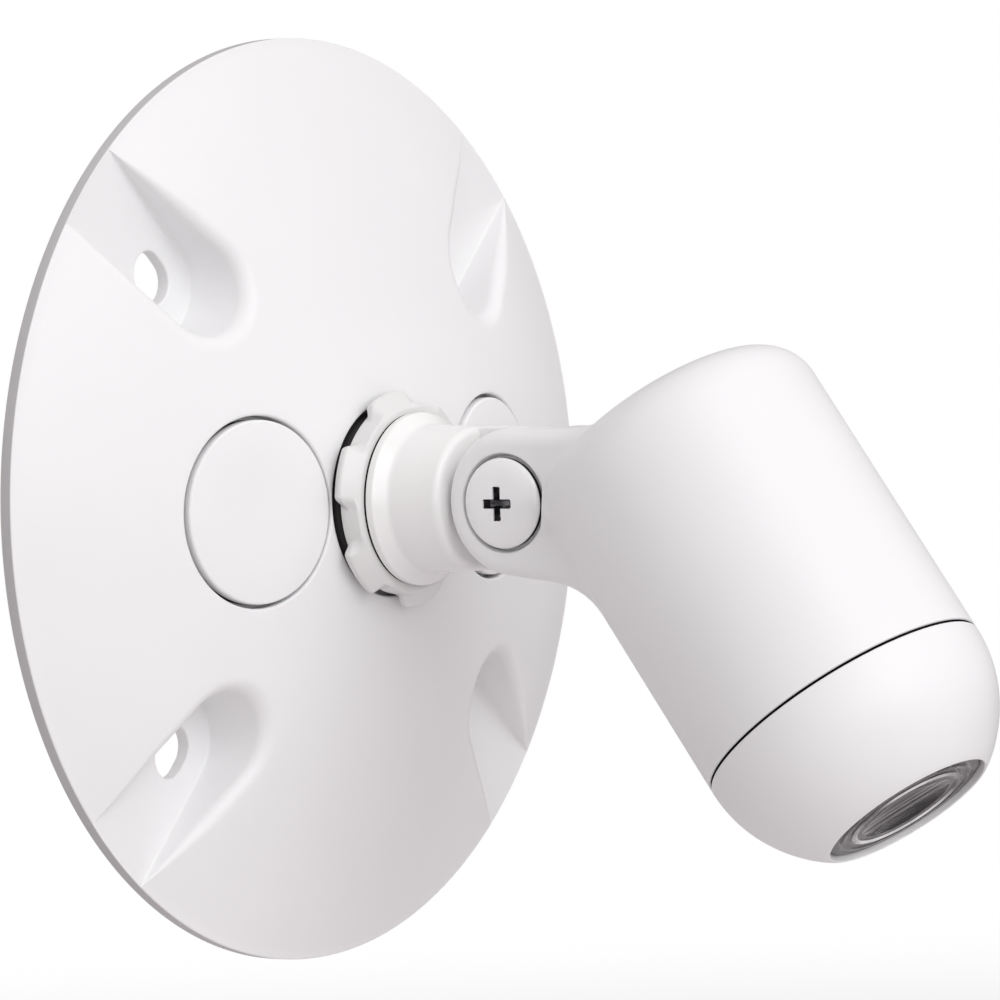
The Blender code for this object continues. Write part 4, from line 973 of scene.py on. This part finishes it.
def makePivotScrew():
    # A shallow domed head: height = rim + rise * cos(asin(r / R)) eased at the edge, on a
    # shank that reaches through the nut; a tapered cross is sunk in its top.
    seat, radius = knuckle["seat"], knuckle["head radius"]
    rise = knuckle["head height"] - knuckle["head rim"]
    angle = np.linspace(0, pi / 2, 22)
    dome = np.stack([radius * np.cos(angle), seat + knuckle["head rim"] + rise * np.sin(angle)], axis=-1)
    thick, end, rim = knuckle["shank radius"], knuckle["hex far"], knuckle["head rim"]
    shank = softened([(0, end, 0), (thick, end, 0.4), (thick, seat, 0), (radius, seat, 0.2),
                      (radius, seat + rim, 0)], 4)
    screw = skin("pivot_screw", ringed(np.concatenate([shank[:-1], dome]), 120), fromKnuckle)
    top = seat + knuckle["head height"]
    length, width, depth = knuckle["cross length"], knuckle["cross width"], knuckle["cross depth"]
    loops = [crossLoop(length * 0.45, width * 0.5, top - depth),
             crossLoop(length * 0.82, width * 0.8, top - 0.75 * depth),
             crossLoop(length, width, top - 0.35), crossLoop(length * 1.02, width * 1.06, top + 1.0)]
    carve(screw, "DIFFERENCE", stack("crossTool", loops, fromKnuckle), sharpAngle=30.0)
    return screw


def paintRecess(screw):
    # Faces sunk below the dome near the axis show bare steel, darkened as painted shade in the cross recess.
    screw.data.materials.append(finishes["recess steel shade"])
    count = len(screw.data.polygons)
    middle = np.zeros(count * 3)
    screw.data.polygons.foreach_get("center", middle)
    middle = middle.reshape(-1, 3) / mm
    away = np.hypot(middle[:, 1] + place["pivot out"], middle[:, 2])
    rise = knuckle["head height"] - knuckle["head rim"]
    share = np.sqrt(np.clip(1 - (away / knuckle["head radius"]) ** 2, 0, 1))
    surface = knuckle["seat"] + knuckle["head rim"] + rise * share
    out = -middle[:, 0]
    sunk = (away < knuckle["cross length"]) & (out < surface - 0.06) & (out > knuckle["seat"] + 0.3)
    screw.data.polygons.foreach_set("material_index", sunk.astype(np.int32))


settle(makeHexNut(), "stem", "plated_steel", finishes["plated steel"], "pivot_nut")
pivotScrew = settle(makePivotScrew(), "stem", "screw_white", finishes["painted screw"], "pivot_screw")
paintRecess(pivotScrew)
shade(pivotScrew, finishes["gap shade"], knuckleOf,
      lambda p: (radial(p) > knuckle["head radius"] - 0.3) & (p[:, 2] < knuckle["seat"] + 0.72))
print("knuckle hardware made")

# Rear housing: the lamp's body with the ear that reaches the knuckle
housing = {
    "radius": 20.4,
    "back": 48.8,
    "crown radius": 70.0,
    "corner": 6.2,
    "wall": 2.5,
    "ear radius": 9.9,
    "ear drop": 6.7,           # degrees that the ear's underside falls
    "ear reach": 21.0,
    "ear far": -1.5,
    "ear rounding": 2.4,
    "blend": 4.5,              # size of the soft join between body and ear
    "fan centre": 38.0,        # from the seam, where rays stop being square to the axis
    "relief radius": 12.1,
    "relief wall": 2.2,
    "hole radius": 2.8,
    "counterbore": 6.4,
    "counterbore lip": 6.75,
    "wire port drop": 35.0,    # degrees below the level
    "wire port reach": 17.2,
    "wire port half": 2.5,
    "wire port far": -0.3,
    "wire port near": 2.6,
    "relief far": -10.6,
    "ledge": 9.6,              # behind the seam, where the cavity narrows
    "ear window": 58,          # degrees to each side of the ear where the rays are dense
    "walk": 90,                # steps that each ray takes
}


def bodyDistance(p):
    # Distance to the turned body: a cylinder, a corner arc and a crown sphere, tangent to
    # each other.
    radius = np.hypot(p[..., 0], p[..., 1])
    crown, corner = housing["crown radius"], housing["corner"]
    sphereZ = crown - housing["back"]
    cornerR = housing["radius"] - corner
    cornerZ = sphereZ - sqrt((crown - corner) ** 2 - cornerR ** 2)
    side = radius - housing["radius"]
    arc = np.hypot(radius - cornerR, p[..., 2] - cornerZ) - corner
    cap = np.hypot(radius, p[..., 2] - sphereZ) - crown
    onCap = radius * (sphereZ - cornerZ) < (sphereZ - p[..., 2]) * cornerR
    beside = np.where(p[..., 2] > cornerZ, side, arc)
    inwards = np.where(radius < cornerR, np.maximum(cap, side), beside)
    return np.where(onCap & (p[..., 2] < cornerZ), cap, inwards)


def earDistance(p):
    # Distance to the ear: a round end about the pivot, a level top and a falling underside,
    # given a thickness and rounded over all its edges.
    q = knuckleOfHead(p)
    a, b, c = q[..., 0], q[..., 1], q[..., 2]
    fall = radians(housing["ear drop"])
    radius = housing["ear radius"]
    upperSide = b - radius
    under = -a * sin(fall) - b * cos(fall) - radius
    beyond = np.where(b > 0, a > 0, a * cos(fall) - b * sin(fall) > 0)
    plan = np.where(beyond, np.maximum(upperSide, under), np.hypot(a, b) - radius)
    plan = np.maximum(plan, a - housing["ear reach"])
    depth = np.maximum(c - knuckle["arm near face"], housing["ear far"] - c)
    soft = housing["ear rounding"]
    u, v = plan + soft, depth + soft
    return np.minimum(np.maximum(u, v), 0) + np.hypot(np.maximum(u, 0), np.maximum(v, 0)) - soft


def joinedDistance(p):
    # Smooth union of body and ear: min(d1, d2) - h^2 k / 4, h = max(k - |d1 - d2|, 0) / k.
    one, two = bodyDistance(p), earDistance(p)
    k = housing["blend"]
    share = np.maximum(k - np.abs(one - two), 0) / k
    return np.minimum(one, two) - share * share * k / 4


def makeHousingSkin():
    # Rays leave the axis square to it down to the fan's centre, then fan back to the rear
    # pole. Each ray walks outwards by the distance that is left until it meets the surface.
    spare = np.linspace(0, 1, 170)
    reach = housing["ear window"]
    dense = np.linspace(-reach, reach, 210)
    sparse = np.linspace(reach, 360 - reach, 120)[1:-1]
    angle = radians(-90) + np.radians(np.concatenate([dense, sparse]))
    straight = np.concatenate([np.linspace(0, 22, 8, endpoint=False),
                               np.linspace(22, housing["fan centre"], 56)])
    lean = (pi / 2) * spare[1:] ** 0.95
    start = np.concatenate([straight, np.full(len(lean), housing["fan centre"])])
    lean = np.concatenate([np.zeros(len(straight)), lean])
    origin = np.stack([np.zeros_like(start), np.zeros_like(start), -start], axis=-1)[:, None, :]
    way = np.stack([np.cos(lean)[:, None] * np.cos(angle), np.cos(lean)[:, None] * np.sin(angle),
                    -np.sin(lean)[:, None] * np.ones_like(angle)], axis=-1)
    travel = np.full(way.shape[:2], 5.0)
    for _ in range(housing["walk"]):
        travel -= 0.85 * joinedDistance(origin + way * travel[..., None])
    grid = origin + way * travel[..., None]
    grid[0, :, 2] = 0.0
    front = np.zeros_like(grid[:1])
    bevel = grid[:1] * (0.992, 0.992, 1)
    grid[0, :, 2] = -0.12
    return skin("rear_housing", np.concatenate([front, bevel, grid]), fromHead, False, 40.0)


def makeRearHousing():
    body = makeHousingSkin()
    relief, wall = housing["relief radius"], housing["relief wall"]
    far, near = housing["relief far"], knuckle["arm far face"]
    cavity = housing["radius"] - housing["wall"]
    ledge = housing["ledge"]
    rear = housing["back"] - housing["wall"] - 0.9
    inner = cavity - 0.9
    outline = [(0, 3, 0), (cavity, 3, 0), (cavity, -ledge, 0), (inner, -ledge, 0),
               (inner, -rear + 1.5, 3.7), (0, -rear, 0)]
    hollow = lathe("hollowTool", outline, fromHead, 120, 6)
    guard = lathe("guardTool", [(0, far - wall, 0), (relief + wall, far - wall, 0),
                                (relief + wall, near + wall, 0), (0, near + wall, 0)], fromKnuckle, 120)
    carve(hollow, "DIFFERENCE", guard)
    bite = lathe("biteTool", [(0, -30, 0), (relief, -30, 0), (relief, near, 0.5), (0, near, 0)],
                 fromKnuckle, 144)
    lip, bore = housing["counterbore lip"], housing["counterbore"]
    face, seat = knuckle["arm near face"], knuckle["seat"] - 0.3
    small = housing["hole radius"]
    hole = lathe("holeTool", [(0, -1, 0), (small, -1, 0), (small, seat, 0), (bore, seat, 0.2),
                              (bore, face - 0.6, 0.3), (lip, face + 0.02, 0.3), (lip + 0.6, face + 0.1, 0),
                              (lip + 0.6, 20, 0), (0, 20, 0)], fromKnuckle, 144)
    toward = -radians(housing["wire port drop"])
    long, half = housing["wire port reach"], housing["wire port half"]
    gate = np.array([(0, -half), (long, -half), (long, half), (0, half)])
    gate = gate @ np.array([(cos(toward), sin(toward)), (-sin(toward), cos(toward))])
    ends = (housing["wire port far"], housing["wire port near"])
    gate = stack("gateTool", [np.concatenate([gate, np.full((4, 1), z)], axis=-1) for z in ends], fromKnuckle)
    return carve(body, "DIFFERENCE", hollow, bite, hole, gate, sharpAngle=40.0)


housingPiece = settle(makeRearHousing(), "head", "head_white", finishes["powder white"], "rear_housing")
shade(housingPiece, finishes["gap shade"], headOf, lambda p: p[:, 2] > -0.03)
print("rear housing made")

# Front cap, lens and reflector
cap = {
    "seam": 0.35,
    "length": 16.3,
    "along": 2.1,              # exponents of the nose's superelliptic curve
    "across": 1.187,
    "aperture": 11.9,
    "throat": 11.7,
    "lip depth": 1.6,
    "spigot length": 7.0,
    "spigot radius": 17.6,
    "spigot bore": 15.8,
    "groove floor": 16.5,
    "groove near": -2.5,
    "groove far": -4.5,
    "lens seat": 12.8,
    "seat floor": 8.6,
}


def noseLine(steps=44):
    # Radius = aperture + (R - aperture) * (1 - share^along)^(1 / across), where share runs
    # from the seam to the tip.
    share = np.sin(np.linspace(0, pi / 2, steps))
    swell = (1 - share ** cap["along"]) ** (1 / cap["across"])
    radius = cap["aperture"] + (housing["radius"] - cap["aperture"]) * swell
    return np.stack([radius, cap["seam"] + (cap["length"] - cap["seam"]) * share], axis=-1)


def makeFrontCap():
    nose = noseLine()
    nose[0, 0] -= 0.12
    nose = np.insert(nose, 1, (housing["radius"], cap["seam"] + 0.12), axis=0)
    back = cap["length"] - cap["lip depth"]
    spigot, bore, groove = cap["spigot radius"], cap["spigot bore"], cap["groove floor"]
    opening, throat, end = cap["aperture"], cap["throat"], -cap["spigot length"]
    seat, floor = cap["lens seat"], cap["seat floor"]
    near, far = cap["groove near"], cap["groove far"]
    inside = softened([(opening, cap["length"], 0), (opening - 0.15, cap["length"] - 0.1, 0.1),
                       (throat, back, 0.25), (seat, back, 0.1), (seat, floor, 0.1), (bore, floor - 1.2, 0.2),
                       (bore, end, 0.2), (spigot, end, 0.3), (spigot, far, 0.1), (groove, far, 0.1),
                       (groove, near, 0.1), (spigot, near, 0.1), (spigot, cap["seam"], 0.1),
                       (nose[0, 0], cap["seam"], 0)], 4)
    return skin("front_cap", ringed(np.concatenate([nose, inside[1:-1]]), 192), fromHead, True)


lens = {
    "radius": 12.5,
    "back": 12.4,
    "shoulder": 14.4,
    "face radius": 11.4,
    "front": 15.9,
    "crown": 0.3,
    "dish radius": 6.7,
    "dish depth": 1.6,
    "ring radius": 7.9,
    "ring width": 0.8,
    "ring height": 0.3,
    "outer ring radius": 9.6,
    "outer ring height": 0.14,
}
reflector = {
    "throat": 3.2,
    "foot": -0.2,
    "mouth": 8.4,
    "mouth height": 11.0,
    "wall": 0.7,
    "flange": 0.6,
}


def makeLens():
    # A moulded window: z = front - crown * (r / R)^2, with a dish in the middle, depth * (1 -
    # (r / dish)^2), and two low rings, each height * exp(-((r - ring) / (width / 2))^2).
    face = lens["face radius"]
    radius = np.linspace(0, face - 0.25, 110)
    height = lens["front"] - lens["crown"] * (radius / face) ** 2
    height -= lens["dish depth"] * np.clip(1 - (radius / lens["dish radius"]) ** 2, 0, 1)
    for ring, rise in (("ring radius", "ring height"), ("outer ring radius", "outer ring height")):
        height += lens[rise] * np.exp(-((radius - lens[ring]) * 2 / lens["ring width"]) ** 2)
    front = np.stack([radius, height], axis=-1)
    edge = np.array([(face - 0.08, front[-1, 1] - 0.07), (face, front[-1, 1] - 0.25),
                     (face, lens["shoulder"]), (lens["radius"], lens["shoulder"]),
                     (lens["radius"], lens["back"] + 0.2), (lens["radius"] - 0.2, lens["back"]),
                     (0, lens["back"])])
    return skin("lens_window", ringed(np.concatenate([front, edge]), 120), fromHead)


def makeReflector():
    # A bowl whose radius squared grows evenly with height, so its section is a parabola.
    foot, mouth, top = reflector["foot"], reflector["mouth"], reflector["mouth height"]
    share = np.linspace(0, 1, 26)
    height = foot + (top - foot) * share ** 1.5
    radius = np.sqrt(reflector["throat"] ** 2 + (mouth ** 2 - reflector["throat"] ** 2) * share ** 1.5)
    bowl = np.stack([radius, height], axis=-1)
    shell = bowl[1:-3] + (reflector["wall"], -reflector["wall"] / 3)
    under = top - reflector["flange"]
    flange = np.array([(mouth + 0.25, top), (lens["radius"], top), (lens["radius"], under),
                       (mouth + reflector["wall"] + 0.3, under)])
    foot = np.array([(reflector["throat"] + reflector["wall"], foot)])
    return skin("reflector", ringed(np.concatenate([bowl, flange, shell[::-1], foot]), 120), fromHead, True)


capPiece = settle(makeFrontCap(), "head", "head_white", finishes["powder white"], "front_cap")
shade(capPiece, finishes["gap shade"], headOf,
      lambda p: (p[:, 2] < cap["seam"] + 0.02) & (radial(p) > cap["groove floor"] + 0.2))
# The lens's dark tint is painted shade for the lamp's inside.
lensPiece = settle(makeLens(), "head", "lens_clear", finishes["lens clear shade tint"], "lens_window")
# The lens's raised ring gets a painted highlight: bright patches that stand in for glints of light on it.
shade(lensPiece, finishes["lens ring glint"], headOf,
      lambda p: (np.abs(radial(p) - lens["ring radius"]) < lens["ring width"] / 2)
      & (p[:, 2] > lens["shoulder"] + 0.6))
settle(makeReflector(), "head", "reflector_silver", finishes["silver"], "reflector")
capRing = {"inner": 16.8, "outer": 17.6, "low": -4.2, "high": -2.8}
settle(makeWasher("cap_o_ring", capRing, fromHead, 0.38), "head", "rubber_black", finishes["rubber"],
       "cap_o_ring")
lensGasket = {"inner": 8.9, "outer": 12.5, "low": 11.3, "high": 12.1}
settle(makeWasher("lens_gasket", lensGasket, fromHead, 0.25), "head", "rubber_black", finishes["rubber"],
       "lens_gasket")
print("cap and lens made")

# CAD pieces that stay, with better finishes
kept = {
    "led_emitter": "phosphor", "led_board": "board white", "led_screw_1": "plated steel",
    "led_screw_2": "plated steel", "thermal_pad": "thermal pad", "heat_sink": "aluminium",
    "driver_board": "board green", "driver_screw_1": "plated steel", "driver_screw_2": "plated steel",
    "inductor": "ferrite", "capacitor": "capacitor sleeve", "driver_chip": "chip black",
    "terminal_block": "terminal green", "lead_positive": "lead red", "lead_negative": "lead black",
}
for nodeName, finishName in kept.items():
    for index in range(max(1, len(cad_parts[nodeName].material_slots))):
        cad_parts[nodeName].material_slots[index].material = finishes[finishName]


# Floor
def makeFloor():
    # A wide round sheet of pale paper; outwards from the object it fades into the surround.
    radius = np.concatenate([np.linspace(0, 1200, 25), [3000, studio["floor radius"] * 1000]])
    sheet = np.stack([radius, np.full(len(radius), -studio["floor drop"] * 1000)], axis=-1)
    floor = skin("studio_floor", ringed(sheet, 96), lambda p: p)
    look = {"colour": studio["floor colour"], "rough": (0.7, 0.8), "peel": 60.0, "grit": 300.0, "bump": 0.05}
    paper = makeMaterial("floor paper", look)
    tree = paper.node_tree
    where = tree.nodes.new("ShaderNodeTexCoord").outputs["Object"]
    away = tree.nodes.new("ShaderNodeVectorMath")
    away.operation = "LENGTH"
    tree.links.new(where, away.inputs[0])
    fade = tree.nodes.new("ShaderNodeMapRange")
    fade.interpolation_type = "SMOOTHSTEP"
    fade.inputs["From Min"].default_value, fade.inputs["From Max"].default_value = studio["paper"]
    tree.links.new(away.outputs["Value"], fade.inputs["Value"])
    seen = tree.nodes.new("ShaderNodeLightPath").outputs["Is Camera Ray"]
    glow = tree.nodes.new("ShaderNodeEmission")
    strength = tree.nodes.new("ShaderNodeMapRange")
    strength.inputs["To Min"].default_value = studio["sky dim"]
    tree.links.new(seen, strength.inputs["Value"])
    tree.links.new(strength.outputs["Result"], glow.inputs["Strength"])
    mix = tree.nodes.new("ShaderNodeMixShader")
    tree.links.new(fade.outputs["Result"], mix.inputs[0])
    tree.links.new(tree.nodes["Principled BSDF"].outputs[0], mix.inputs[1])
    tree.links.new(glow.outputs[0], mix.inputs[2])
    tree.links.new(mix.outputs[0], tree.nodes["Material Output"].inputs["Surface"])
    floor.data.materials.append(paper)


makeFloor()
print("floor made")
